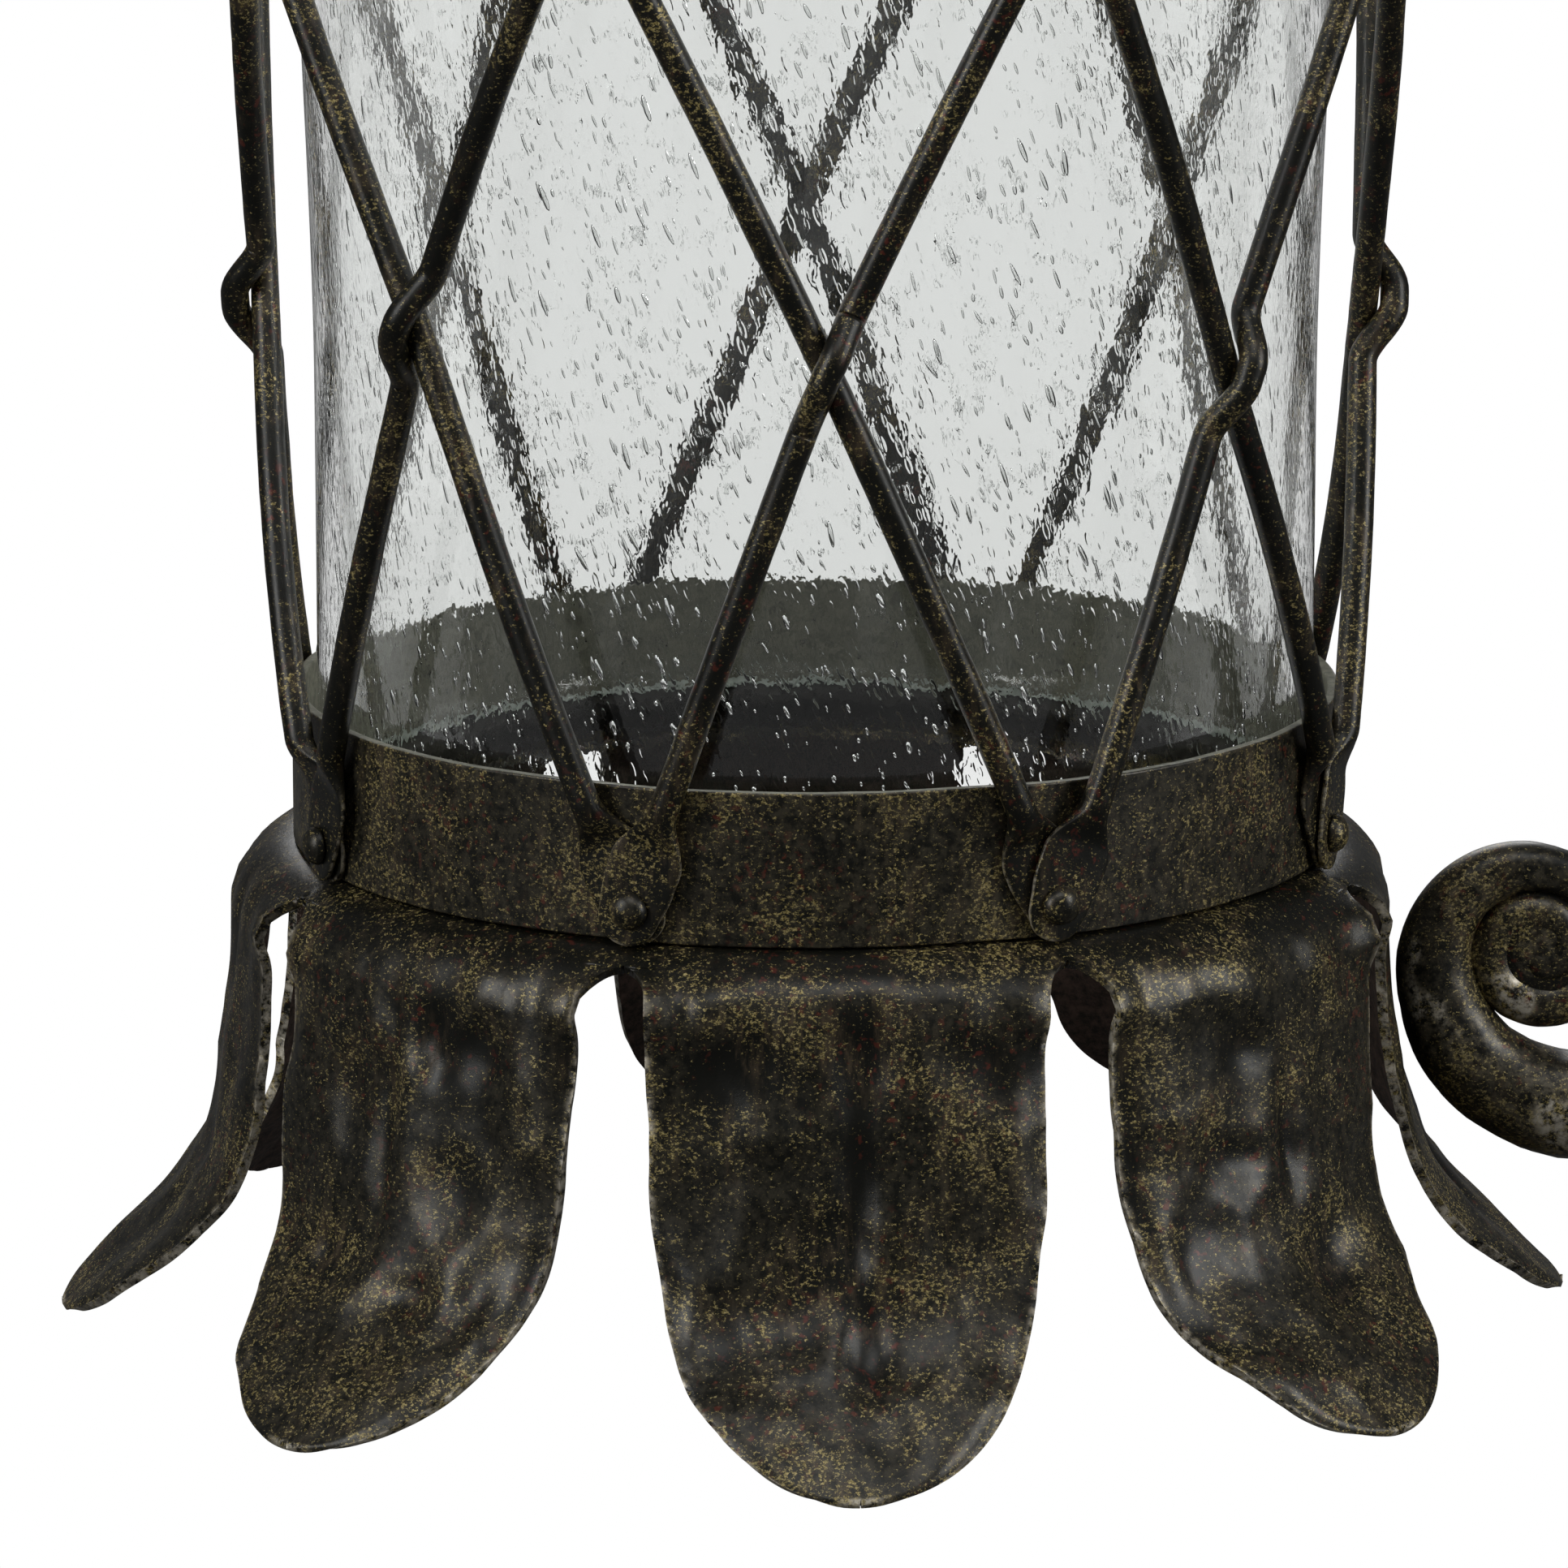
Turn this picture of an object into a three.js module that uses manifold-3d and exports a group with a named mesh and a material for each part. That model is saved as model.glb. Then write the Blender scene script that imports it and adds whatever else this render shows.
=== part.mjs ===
// Wall torch: a flared cage of riveted iron bars round a seeded glass chimney, with a skirt of eight
// petals, held on a C-scroll wall bracket. A lamp-oil canister hangs in the lift-off top plate.
// Millimetres, +Z up. The wall is the plane x = 0, and the torch stands on its -X side.
import * as THREE from "three";
import { mergeGeometries, mergeVertices } from "three/addons/utils/BufferGeometryUtils.js";
import Module from "manifold-3d";

const wasm = await Module();
wasm.setup();

// ---------------------------------------------------------------- driving dimensions
// Heights named UP are measured from the lower band's bottom edge.
const GAP = 0.3; // clearance between pieces that touch
const ROUND_SIDES = 40; // sides of the turned rings
const WALL_SPAN = 185; // lower band's face to the wall
const PLATE_DROP = 24; // wall plate's centre below the middle of the cage
const TURN = THREE.MathUtils.degToRad(0.9); // the first crossing's angle from the -Y side
const FOOT_TURN = THREE.MathUtils.degToRad(2.2); // lower rivets and petals are turned this much further
const PETALS = 8;
const PITCH = (2 * Math.PI) / PETALS;

const BAND_R = 116; // lower band, outside
const BAND_H = 33.5;
const BAND_T = 2.5;
const FLARE = 18; // how much wider the top band is than the lower band
const FLARE_FROM = 96; // heights between which the cage and the glass flare
const FLARE_TO = 310;

const ROD_D = 6.35;
const ROD_STANDOFF = 4.3; // rod centre line outside the band's face
const PADDLE_W = 13.5; // flattened rod ends
const PADDLE_T = 1.6;
const PADDLE_L = 32;
const RIVET_INSET = 7.5; // rivet centre from the band's free edge
const FIRST_ROW_UP = 122; // first row of crossings
const ROW_STEP = 107;
const HAND_SET = [3, -4, -3, -1, -2, -1, -3, 6]; // each first-row crossing above or below its row
const JOGGLE_FLAT = 2.5; // half length of the step of an over bar across an under bar
const JOGGLE_END = 12;

const RIVET_R = 2.4;
const RIVET_HEAD_R = 4.2;
const RIVET_HEAD_H = 3.3;

const GLASS_CLEAR = 3.2; // round the glass, inside the lower band
const GLASS_T = 4;
const GLASS_FLARE = 7;
const GLASS_TOP_CLEAR = 14; // glass rim below the top plate
const SEAT_H = 9.2;
const SEAT_T = 2.3;
const SEAT_W = 13.9; // width of the ledge under the glass

const SKIRT_T = 2.5;
const SKIRT_LAP = 12; // the skirt's ring reaches this far inside the band's face
const PETAL_HALF_W = 41;
const PETAL_TIP_DROP = 107; // petal tips below the lower band
const SKIRT_RING_W = 18;

const STEM_D = 23; // bracket bar at the wall
const EYE_BAR_D = 8.4; // bracket bar at its scroll ends
const LOWER_EYE_UP = -28;
const PLATE_T = 8;
const PLATE_W = 72;
const PLATE_H = 330;
const PLATE_CORNER_R = 30;
const SCREW_HOLE_R = 4.5;
const SCREW_SIDE = 11; // screw holes from the plate's long edges
const SCREW_END = 30; // screw holes from the plate's ends
const STEM_RIVET_R = 4;
const STEM_RIVET_HEAD_R = 7.5;
const STEM_RIVET_END = 75; // stem rivets from the plate's ends
const SADDLE_T = 5;
const SADDLE_H = 24;
const SADDLE_W = 48.5;
const BOLT_SPACING = 32.6;
const BOLT_R = 3;
const HEX_R = 5.5;
const HEX_H = 4;

const TOP_PLATE_T = 2.5;
const TOP_LIP_H = 8;
const CAN_R = 50;
const CAN_HOLE_CLEAR = 2; // round the canister, in the top plate
const CAN_DEPTH = 112;
const CAN_WALL = 1.5;
const CAN_FLANGE_W = 8;
const NECK_R = 17;
const NECK_UP = 30; // neck top above the top plate
const CAP_WALL = 4; // burner cap outside the neck
const WICK_R = 5.6;
const WICK_UP = 56;
const SLOT_W = 10;
const SLOT_INSET = 16; // slots outside the canister's flange
const SLOT_EDGE = 8; // slots inside the plate's edge
const HINGE_OUT = 3; // snuffer hinge outside the burner cap
const HINGE_RISE = 8; // snuffer hinge above the burner cap's neck line
const PIN_R = 1.3;
const SNUFFER_CLEAR = 7.4; // snuffer's rim outside the wick

// ---------------------------------------------------------------- sizes that follow
const topR = BAND_R + FLARE;
const wallReach = BAND_R + WALL_SPAN; // torch axis to the wall
const rows = [RIVET_INSET, FIRST_ROW_UP, FIRST_ROW_UP + ROW_STEP, FIRST_ROW_UP + 2 * ROW_STEP];
rows.push(rows[3] + rows[1] - rows[0]);
const topEdge = rows[4] + RIVET_INSET;
const wallCentreUp = topEdge / 2 - PLATE_DROP;
const stemRivetRise = PLATE_H / 2 - STEM_RIVET_END;
const topBandFoot = topEdge - BAND_H;
const plateTop = topEdge + GAP + TOP_PLATE_T;
const paddleStack = 2 * (GAP + PADDLE_T); // how far two riveted paddles stand out of a band
const canFlangeR = CAN_R + CAN_FLANGE_W;
const canHoleR = CAN_R + CAN_HOLE_CLEAR;
const capR = NECK_R + CAP_WALL;
const hingeX = capR + HINGE_OUT;
const snufferR = WICK_R + SNUFFER_CLEAR;
const lean = Math.atan((BAND_R * PITCH) / 2 / (rows[1] - rows[0]));

// ---------------------------------------------------------------- materials
const iron = new THREE.MeshStandardMaterial({ color: 0x2b251d, roughness: 0.5, metalness: 0.8 });
const glass = new THREE.MeshStandardMaterial({
  color: 0xe6ece8,
  roughness: 0.05,
  metalness: 0,
  transparent: true,
  opacity: 0.35,
});
const blackSteel = new THREE.MeshStandardMaterial({ color: 0x1c1b1a, roughness: 0.45, metalness: 0.7 });
const brass = new THREE.MeshStandardMaterial({ color: 0x8a6a32, roughness: 0.4, metalness: 0.9 });
const fibre = new THREE.MeshStandardMaterial({ color: 0xd9d2c0, roughness: 0.95, metalness: 0 });

// ---------------------------------------------------------------- helpers
const smooth = (x, from, to) => THREE.MathUtils.smoothstep(x, from, to);
const mix = THREE.MathUtils.lerp;

// A point on a circle round the torch axis. Angles run from the -Y side towards +X.
const onCircle = (angle, r, z) => new THREE.Vector3(r * Math.sin(angle), -r * Math.cos(angle), z);

function toSolid(geometry) {
  const bare = new THREE.BufferGeometry();
  bare.setAttribute("position", geometry.getAttribute("position").clone());
  if (geometry.index) bare.setIndex(geometry.index.clone());
  const merged = mergeVertices(bare, 1e-3);
  return new wasm.Manifold(
    new wasm.Mesh({
      numProp: 3,
      vertProperties: new Float32Array(merged.attributes.position.array),
      triVerts: new Uint32Array(merged.index.array),
    }),
  );
}

function toGeometry(solid) {
  const mesh = solid.getMesh();
  const geometry = new THREE.BufferGeometry();
  geometry.setAttribute("position", new THREE.BufferAttribute(new Float32Array(mesh.vertProperties), 3));
  geometry.setIndex(new THREE.BufferAttribute(new Uint32Array(mesh.triVerts), 1));
  geometry.computeVertexNormals();
  return geometry;
}

const cut = (geometry, ...tools) =>
  toGeometry(tools.reduce((solid, tool) => solid.subtract(toSolid(tool)), toSolid(geometry)));
const join = (...parts) => toGeometry(parts.map(toSolid).reduce((a, b) => a.add(b)));

// A solid turned about Z from [r, z] points, which start and end on the axis or close on themselves.
function turned(points, segments, close = false) {
  const area = points.reduce((sum, [x, y], i) => {
    const [nx, ny] = points[(i + 1) % points.length];
    return sum + x * ny - nx * y;
  }, 0);
  const ordered = area > 0 ? [...points] : [...points].reverse();
  if (close) ordered.push(ordered[0]);
  const profile = ordered.map(([x, y]) => new THREE.Vector2(x, y));
  return new THREE.LatheGeometry(profile, segments).rotateX(Math.PI / 2);
}

// A closed cylinder bent along stations, each with a centre, an outward direction and two half sizes.
function sweep(stations, sides) {
  const steps = stations.length - 1;
  const geometry = new THREE.CylinderGeometry(1, 1, 1, sides, steps);
  const position = geometry.getAttribute("position");
  const frames = stations.map((station, i) => {
    const before = stations[Math.max(0, i - 1)].at;
    const after = stations[Math.min(steps, i + 1)].at;
    const along = after.clone().sub(before).normalize();
    const side = along.clone().cross(station.out).normalize();
    return { side, out: side.clone().cross(along) };
  });
  for (let i = 0; i < position.count; i++) {
    const k = Math.round((0.5 + position.getY(i)) * steps);
    const moved = stations[k].at
      .clone()
      .addScaledVector(frames[k].side, position.getX(i) * stations[k].halfWidth)
      .addScaledVector(frames[k].out, position.getZ(i) * stations[k].halfThickness);
    position.setXYZ(i, moved.x, moved.y, moved.z);
  }
  return geometry;
}

// A piece drawn along Z, laid down so that its Z points away from the torch axis.
const laidRadially = (geometry, angle, z) =>
  geometry
    .rotateX(Math.PI / 2)
    .rotateZ(angle)
    .translate(0, 0, z);

const drill = (radius, from, to, sides = 10) =>
  new THREE.CylinderGeometry(radius, radius, to - from, sides)
    .rotateX(Math.PI / 2)
    .translate(0, 0, (from + to) / 2);

// The tool for a hole: a prism whose flat sides, not its corners, lie at the radius.
const bore = (radius, from, to, sides = 6) => drill(radius / Math.cos(Math.PI / sides), from, to, sides);

const torch = new THREE.Group();
torch.position.set(-wallReach, 0, -wallCentreUp);
const wall = new THREE.Group();
const part = new THREE.Group();
part.add(torch, wall);

function add(group, name, geometry, material) {
  const mesh = new THREE.Mesh(geometry, material);
  mesh.name = name;
  group.add(mesh);
}

// ---------------------------------------------------------------- cage bars
// Radius of the rods' centre line: straight above the lower band, then flaring to the top band's width.
const cageRadius = (z) => BAND_R + ROD_STANDOFF + FLARE * smooth(z, FLARE_FROM, FLARE_TO);

function rowIndex(z, heights) {
  const k = THREE.MathUtils.clamp(heights.findIndex((h) => h > z) - 1, 0, heights.length - 2);
  return z >= heights.at(-1)
    ? heights.length - 2 + (z - heights.at(-2)) / (heights.at(-1) - heights.at(-2))
    : k + (z - heights[k]) / (heights[k + 1] - heights[k]);
}

const lowerRivetAngle = (k) => TURN + FOOT_TURN + (k + 0.5) * PITCH;
const upperRivetAngle = (k) => TURN + (k + 0.5) * PITCH;

// The bar that starts at lower rivet k and ends four half pitches round at an upper rivet.
// direction is 1 where it leans towards +angle as it rises.
function bar(k, direction, over) {
  const firstCrossing = (direction > 0 ? k + 1 : k) % PETALS;
  const heights = [...rows];
  heights[1] += HAND_SET[firstCrossing];
  const endLow = heights[0] - RIVET_INSET;
  const endHigh = heights[4] + RIVET_INSET;
  const layer = over ? GAP + PADDLE_T : 0;
  const shrink = Math.cos(lean);
  const centre = (z) => {
    const fromEnd = Math.min(z - endLow, endHigh - z) / shrink;
    const face = z < FIRST_ROW_UP ? BAND_R : topR;
    const onBand = face + GAP + PADDLE_T / 2 + layer;
    const steps = heights.slice(1, 4).map((h) => 1 - smooth(Math.abs(z - h), JOGGLE_FLAT, JOGGLE_END));
    const step = over ? Math.max(...steps) : 0;
    const round = smooth(fromEnd, PADDLE_L - 9, PADDLE_L);
    const radius = mix(onBand, cageRadius(z), round) + step * (ROD_D + GAP);
    const row = rowIndex(z, heights);
    const footTurn = FOOT_TURN * Math.max(0, 1 - row);
    return onCircle(upperRivetAngle(k) + footTurn + (direction * PITCH * row) / 2, radius, z);
  };
  const fromEnds = [0.3, 3, 13, 23, PADDLE_L].map((s) => s * shrink);
  const marks = [...fromEnds.map((s) => endLow + s), ...fromEnds.map((s) => endHigh - s)];
  heights.slice(1, 4).forEach((h) => {
    const steps = over ? [JOGGLE_FLAT, (JOGGLE_FLAT + JOGGLE_END) / 2, JOGGLE_END] : [0];
    steps.forEach((d) => marks.push(h - d, h + d));
  });
  [0, 1, 2, 3].forEach((k) => {
    const low = k === 0 ? endLow + PADDLE_L : heights[k] + JOGGLE_END;
    const high = k === 3 ? endHigh - PADDLE_L : heights[k + 1] - JOGGLE_END;
    marks.push(mix(low, high, 1 / 3), mix(low, high, 2 / 3));
  });
  const sorted = [...new Set(marks)].sort((a, b) => a - b);
  const stations = sorted.map((z) => {
    const fromEnd = Math.min(z - endLow, endHigh - z) / shrink;
    const round = Math.sqrt(1 - (1 - Math.min(1, fromEnd / (PADDLE_W / 2))) ** 2);
    const at = centre(z);
    return {
      at,
      out: new THREE.Vector3(at.x, at.y, 0).normalize(),
      halfWidth: mix((PADDLE_W / 2) * round, ROD_D / 2, smooth(fromEnd, 12, PADDLE_L)),
      halfThickness: mix(PADDLE_T / 2, ROD_D / 2, smooth(fromEnd, PADDLE_L - 9, PADDLE_L)),
    };
  });
  const holes = [
    laidRadially(bore(RIVET_R + GAP, BAND_R - 5, BAND_R + 9), lowerRivetAngle(k), heights[0]),
    laidRadially(bore(RIVET_R + GAP, topR - 5, topR + 9), upperRivetAngle(k + 2 * direction), heights[4]),
  ];
  return cut(sweep(stations, 6), ...holes);
}

// ---------------------------------------------------------------- bands and rivets
function band(radius, foot, rivetUp, rivetAngle) {
  const inner = radius - BAND_T;
  const ring = [
    [inner, foot],
    [radius, foot],
    [radius, foot + BAND_H],
    [inner, foot + BAND_H],
  ];
  const holes = [...Array(PETALS).keys()].map((k) =>
    laidRadially(bore(RIVET_R + GAP, inner - 3, radius + 3), rivetAngle(k), rivetUp),
  );
  return { ring: turned(ring, ROUND_SIDES, true), holes };
}

// A round-headed rivet through two paddles and a band, hammered flush inside the band.
function rivet(bandRadius, angle, z) {
  const head = bandRadius + paddleStack + GAP;
  const dome = [0, 1, 2].map((i) => {
    const a = (i * Math.PI) / 4;
    return [RIVET_HEAD_R * Math.cos(a), head + RIVET_HEAD_H * Math.sin(a)];
  });
  const foot = bandRadius - BAND_T + 0.1;
  return laidRadially(turned([[0, foot], [RIVET_R, foot], [RIVET_R, head], ...dome], 8), angle, z);
}

for (let k = 0; k < PETALS; k++) {
  add(torch, `bar_under_${k + 1}`, bar(k, -1, false), iron);
  add(torch, `bar_over_${k + 1}`, bar(k, 1, true), iron);
  add(torch, `lower_rivet_${k + 1}`, rivet(BAND_R, lowerRivetAngle(k), rows[0]), iron);
  add(torch, `upper_rivet_${k + 1}`, rivet(topR, upperRivetAngle(k), rows[4]), iron);
}

const lowerBand = band(BAND_R, 0, rows[0], lowerRivetAngle);
add(torch, "lower_band", cut(lowerBand.ring, ...lowerBand.holes), iron);

const bracketAngle = Math.PI / 2;
const boltAngle = Math.asin(BOLT_SPACING / 2 / topR);
const boltAngles = [bracketAngle - boltAngle, bracketAngle + boltAngle];
const boltUp = topBandFoot + BAND_H / 2 - 3;
const topBand = band(topR, topBandFoot, rows[4], upperRivetAngle);
const boltHole = (angle) => laidRadially(bore(BOLT_R + GAP, topR - 6, topR + 9, 10), angle, boltUp);
add(torch, "top_band", cut(topBand.ring, ...topBand.holes, ...boltAngles.map(boltHole)), iron);

// ---------------------------------------------------------------- glass and its seat
const seatOuterR = BAND_R - BAND_T - 2 * GAP;
const seatInnerR = seatOuterR - SEAT_W;
const seat = [
  [seatOuterR - SEAT_T, 0],
  [seatOuterR, 0],
  [seatOuterR, SEAT_H],
  [seatInnerR, SEAT_H],
  [seatInnerR, SEAT_H - SEAT_T],
  [seatOuterR - SEAT_T, SEAT_H - SEAT_T],
];
add(torch, "glass_seat_ring", turned(seat, ROUND_SIDES, true), iron);

const glassR = BAND_R - BAND_T - GLASS_CLEAR;
const glassFoot = SEAT_H + GAP;
const glassTop = topEdge - GLASS_TOP_CLEAR;
const glassLevels = [0, 0.2, 0.4, 0.6, 0.8, 1].map((t) => mix(glassFoot, glassTop, t));
const glassOuter = glassLevels.map((z) => [glassR + GLASS_FLARE * smooth(z, FLARE_FROM, FLARE_TO), z]);
const glassInner = glassOuter.map(([r, z]) => [r - GLASS_T, z]).reverse();
add(torch, "glass_chimney", turned([...glassOuter, ...glassInner], ROUND_SIDES, true), glass);

// ---------------------------------------------------------------- petal skirt
// Middle of the sheet from the flat ring under the band, over the shoulder and down to the flared tip.
const drop = PETAL_TIP_DROP;
const skirtFlat = -GAP - SKIRT_T / 2;
const skirtLine = new THREE.SplineCurve([
  new THREE.Vector2(BAND_R - SKIRT_LAP, skirtFlat),
  new THREE.Vector2(BAND_R - 1, skirtFlat - 0.2),
  new THREE.Vector2(BAND_R + 7, skirtFlat - 3.6),
  new THREE.Vector2(BAND_R + 11.7, -drop * 0.11),
  new THREE.Vector2(BAND_R + 13, -drop * 0.2),
  new THREE.Vector2(BAND_R + 14.3, -drop * 0.36),
  new THREE.Vector2(BAND_R + 16.8, -drop * 0.54),
  new THREE.Vector2(BAND_R + 21, -drop * 0.68),
  new THREE.Vector2(BAND_R + 30, -drop * 0.8),
  new THREE.Vector2(BAND_R + 41.5, -drop * 0.9),
  new THREE.Vector2(BAND_R + 51.5, -drop),
]);
const skirtLength = skirtLine.getLength();
skirtLine.arcLengthDivisions = 400;

// Point and direction on the sheet, s mm from its inner edge, offset from its middle.
function skirtPoint(s, offset) {
  const t = THREE.MathUtils.clamp(s / skirtLength, 0, 1);
  const at = skirtLine.getPointAt(t);
  const along = skirtLine.getTangentAt(t);
  return [at.x - along.y * offset, at.y + along.x * offset];
}

// Half the width of a petal: the full pitch in the ring, then its own width and a blunt round tip.
function petalHalfAngle(s) {
  const t = THREE.MathUtils.clamp((s - SKIRT_RING_W) / (skirtLength - SKIRT_RING_W), 0, 1);
  const blunt = (1 - Math.min(t, 0.9995) ** 3.4) ** 0.625;
  const [r] = skirtPoint(s, 0);
  const own = Math.asin((PETAL_HALF_W * blunt) / r);
  return mix(PITCH / 2, own, smooth(s, SKIRT_RING_W, SKIRT_RING_W + 13));
}

// One petal with its share of the ring. Neighbours meet exactly on the seams between them.
function petal(k) {
  const across = 4;
  const along = [0, 11, SKIRT_RING_W, 21, 25, 31, 42, 56, 72, 86, 98, 109, 118, 125];
  const marks = along.map((s) => s / skirtLength);
  marks.push(0.975, 1);
  const seam = (side) => TURN + FOOT_TURN + (((2 * k + side + 2 * PETALS) % (2 * PETALS)) * PITCH) / 2;
  const geometry = new THREE.BoxGeometry(2, 1, 1, across, marks.length - 1, 1);
  const position = geometry.getAttribute("position");
  const onSeam = [];
  for (let i = 0; i < position.count; i++) {
    const mark = marks[Math.round((0.5 - position.getY(i)) * (marks.length - 1))];
    const s = mark * skirtLength;
    const side = position.getX(i);
    const [r, z] = skirtPoint(s, position.getZ(i) * SKIRT_T);
    onSeam.push(Math.abs(side) === 1 && s < SKIRT_RING_W + 0.01);
    const angle = onSeam[i] ? seam(side) : TURN + FOOT_TURN + k * PITCH + side * petalHalfAngle(s);
    const moved = onCircle(angle, r, z);
    position.setXYZ(i, moved.x, moved.y, moved.z);
  }
  // The box's first two faces are its sides, and what they hold of a seam is inside the sheet.
  const sideCount = geometry.groups[0].count + geometry.groups[1].count;
  const corners = [...geometry.index.array];
  const hidden = (i) => i < sideCount && [0, 1, 2].every((c) => onSeam[corners[i - (i % 3) + c]]);
  geometry.setIndex(corners.filter((_, i) => !hidden(i)));
  geometry.deleteAttribute("normal");
  geometry.deleteAttribute("uv");
  return geometry;
}

const petals = [...Array(PETALS).keys()].map(petal);
add(torch, "petal_skirt", mergeVertices(mergeGeometries(petals), 1e-3), iron);

// ---------------------------------------------------------------- scroll bracket
// Centre line of a scroll as an offset from its eye. turns runs from 0 at the inner end to SCROLL_TURNS.
const SCROLL_TURNS = 1.508;
const SCROLL_START = THREE.MathUtils.degToRad(-262);
function scrollOffset(turns) {
  const open = Math.max(0, (turns - 1.28) / (SCROLL_TURNS - 1.28));
  const rho = 8.5 * Math.exp(0.8 * turns) + 8.1 * open ** 1.6;
  const a = SCROLL_START + turns * 2 * Math.PI;
  return new THREE.Vector2(rho * Math.cos(a), rho * Math.sin(a));
}
const scrollBarRadius = (turns) =>
  (EYE_BAR_D / 2) * Math.exp(0.25 * turns) + 6 * smooth(turns, 0.9, 1.6) + 0.6 * smooth(turns, 1.4, 1.6);

// Distance from the torch axis to a scroll's eye that keeps its bar clear of a face.
// faceAt(z) is the face's radius at a height.
function eyeDistance(eyeUp, flip, faceAt) {
  let distance = 0;
  for (let i = 0; i <= 60; i++) {
    const turns = (i / 60) * SCROLL_TURNS;
    const offset = scrollOffset(turns);
    const r = scrollBarRadius(turns);
    for (let a = 0; a < 12; a++) {
      const x = offset.x + r * Math.cos((a * Math.PI) / 6);
      const z = eyeUp + flip * offset.y + r * Math.sin((a * Math.PI) / 6);
      distance = Math.max(distance, faceAt(z) - x);
    }
  }
  return distance + 2 * GAP;
}

// Outer radius of the petals at a height, or of the band above them.
function skirtFace(z) {
  let s = 0;
  while (s < skirtLength && skirtPoint(s, SKIRT_T / 2)[1] > z) s += 1;
  return Math.max(BAND_R, skirtPoint(s, SKIRT_T / 2)[0]);
}

const stemX = wallReach - PLATE_T - GAP - STEM_D / 2;
const saddleR = topR + GAP;
const upperEyeUp = boltUp - 4;
const lowerEye = new THREE.Vector2(eyeDistance(LOWER_EYE_UP, 1, skirtFace), LOWER_EYE_UP);
const upperEye = new THREE.Vector2(eyeDistance(upperEyeUp, -1, () => saddleR + SADDLE_T), upperEyeUp);

// Stations from a scroll's eye out to the straight stem.
// flip is 1 for the lower scroll and -1 for the upper.
function scrollArm(eye, flip, stemEnd) {
  const stations = [];
  const steps = 21;
  for (let i = 0; i <= steps; i++) {
    const turns = (i / steps) * SCROLL_TURNS;
    const offset = scrollOffset(turns);
    stations.push([eye.x + offset.x, eye.y + flip * offset.y, scrollBarRadius(turns)]);
  }
  const end = new THREE.Vector2(...stations.at(-1).slice(0, 2));
  const before = new THREE.Vector2(...stations.at(-2).slice(0, 2));
  const heading = end.clone().sub(before).normalize();
  const handle = 0.55 * (stemX - end.x);
  const sweepOut = new THREE.CubicBezierCurve(
    end,
    end.clone().addScaledVector(heading, handle),
    new THREE.Vector2(stemX, stemEnd - flip * 72),
    new THREE.Vector2(stemX, stemEnd),
  );
  const from = stations.at(-1)[2];
  for (let i = 1; i <= 8; i++) {
    const p = sweepOut.getPoint(i / 8);
    stations.push([p.x, p.y, mix(from, STEM_D / 2, smooth(i, 0, 4))]);
  }
  return stations;
}

const lowerStemEnd = wallCentreUp - stemRivetRise - 45;
const upperStemEnd = wallCentreUp + stemRivetRise + 45;
const barStations = [
  ...scrollArm(lowerEye, 1, lowerStemEnd),
  ...scrollArm(upperEye, -1, upperStemEnd).reverse(),
].map(([x, z, r]) => ({
  at: new THREE.Vector3(x, 0, z),
  out: new THREE.Vector3(0, -1, 0),
  halfWidth: r,
  halfThickness: r,
}));
const knob = (eye) => new THREE.SphereGeometry(5.6, 8, 6).rotateX(Math.PI / 2).translate(eye.x, 0, eye.y);
const stemRivetUps = [wallCentreUp - stemRivetRise, wallCentreUp + stemRivetRise];
const stemHole = (z) => bore(STEM_RIVET_R + GAP, -20, 20, 12).rotateY(Math.PI / 2).translate(stemX, 0, z);
const scrollBar = join(sweep(barStations, 8), knob(lowerEye), knob(upperEye));
add(torch, "scroll_bracket", cut(scrollBar, ...stemRivetUps.map(stemHole)), iron);

// Saddle between the upper scroll and the top band, held by two bolts.
const saddleHalfAngle = Math.asin(SADDLE_W / 2 / (saddleR + SADDLE_T));
const arcFrom = bracketAngle - saddleHalfAngle - Math.PI / 2;
const arcTo = bracketAngle + saddleHalfAngle - Math.PI / 2;
const saddleShape = new THREE.Shape()
  .absarc(0, 0, saddleR + SADDLE_T, arcFrom, arcTo, false)
  .absarc(0, 0, saddleR, arcTo, arcFrom, true);
const saddleDepth = { depth: SADDLE_H, bevelEnabled: false, curveSegments: 8 };
const saddlePlate = new THREE.ExtrudeGeometry(saddleShape, saddleDepth);
saddlePlate.translate(0, 0, boltUp - SADDLE_H / 2);
add(torch, "bracket_saddle", cut(saddlePlate, ...boltAngles.map(boltHole)), iron);

boltAngles.forEach((angle, i) => {
  const headFoot = saddleR + SADDLE_T + GAP;
  const tail = topR - BAND_T - GAP - HEX_H - 1.5;
  const shank = drill(BOLT_R, tail, headFoot + 1, 10);
  const head = drill(HEX_R, headFoot, headFoot + HEX_H, 6);
  const nut = drill(HEX_R, tail + 1, tail + 1 + HEX_H, 6);
  add(torch, `saddle_bolt_${i + 1}`, laidRadially(join(shank, head), angle, boltUp), iron);
  const bored = cut(nut, bore(BOLT_R + GAP, tail - 5, tail + HEX_H + 5, 10));
  add(torch, `saddle_nut_${i + 1}`, laidRadially(bored, angle, boltUp), iron);
});

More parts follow.
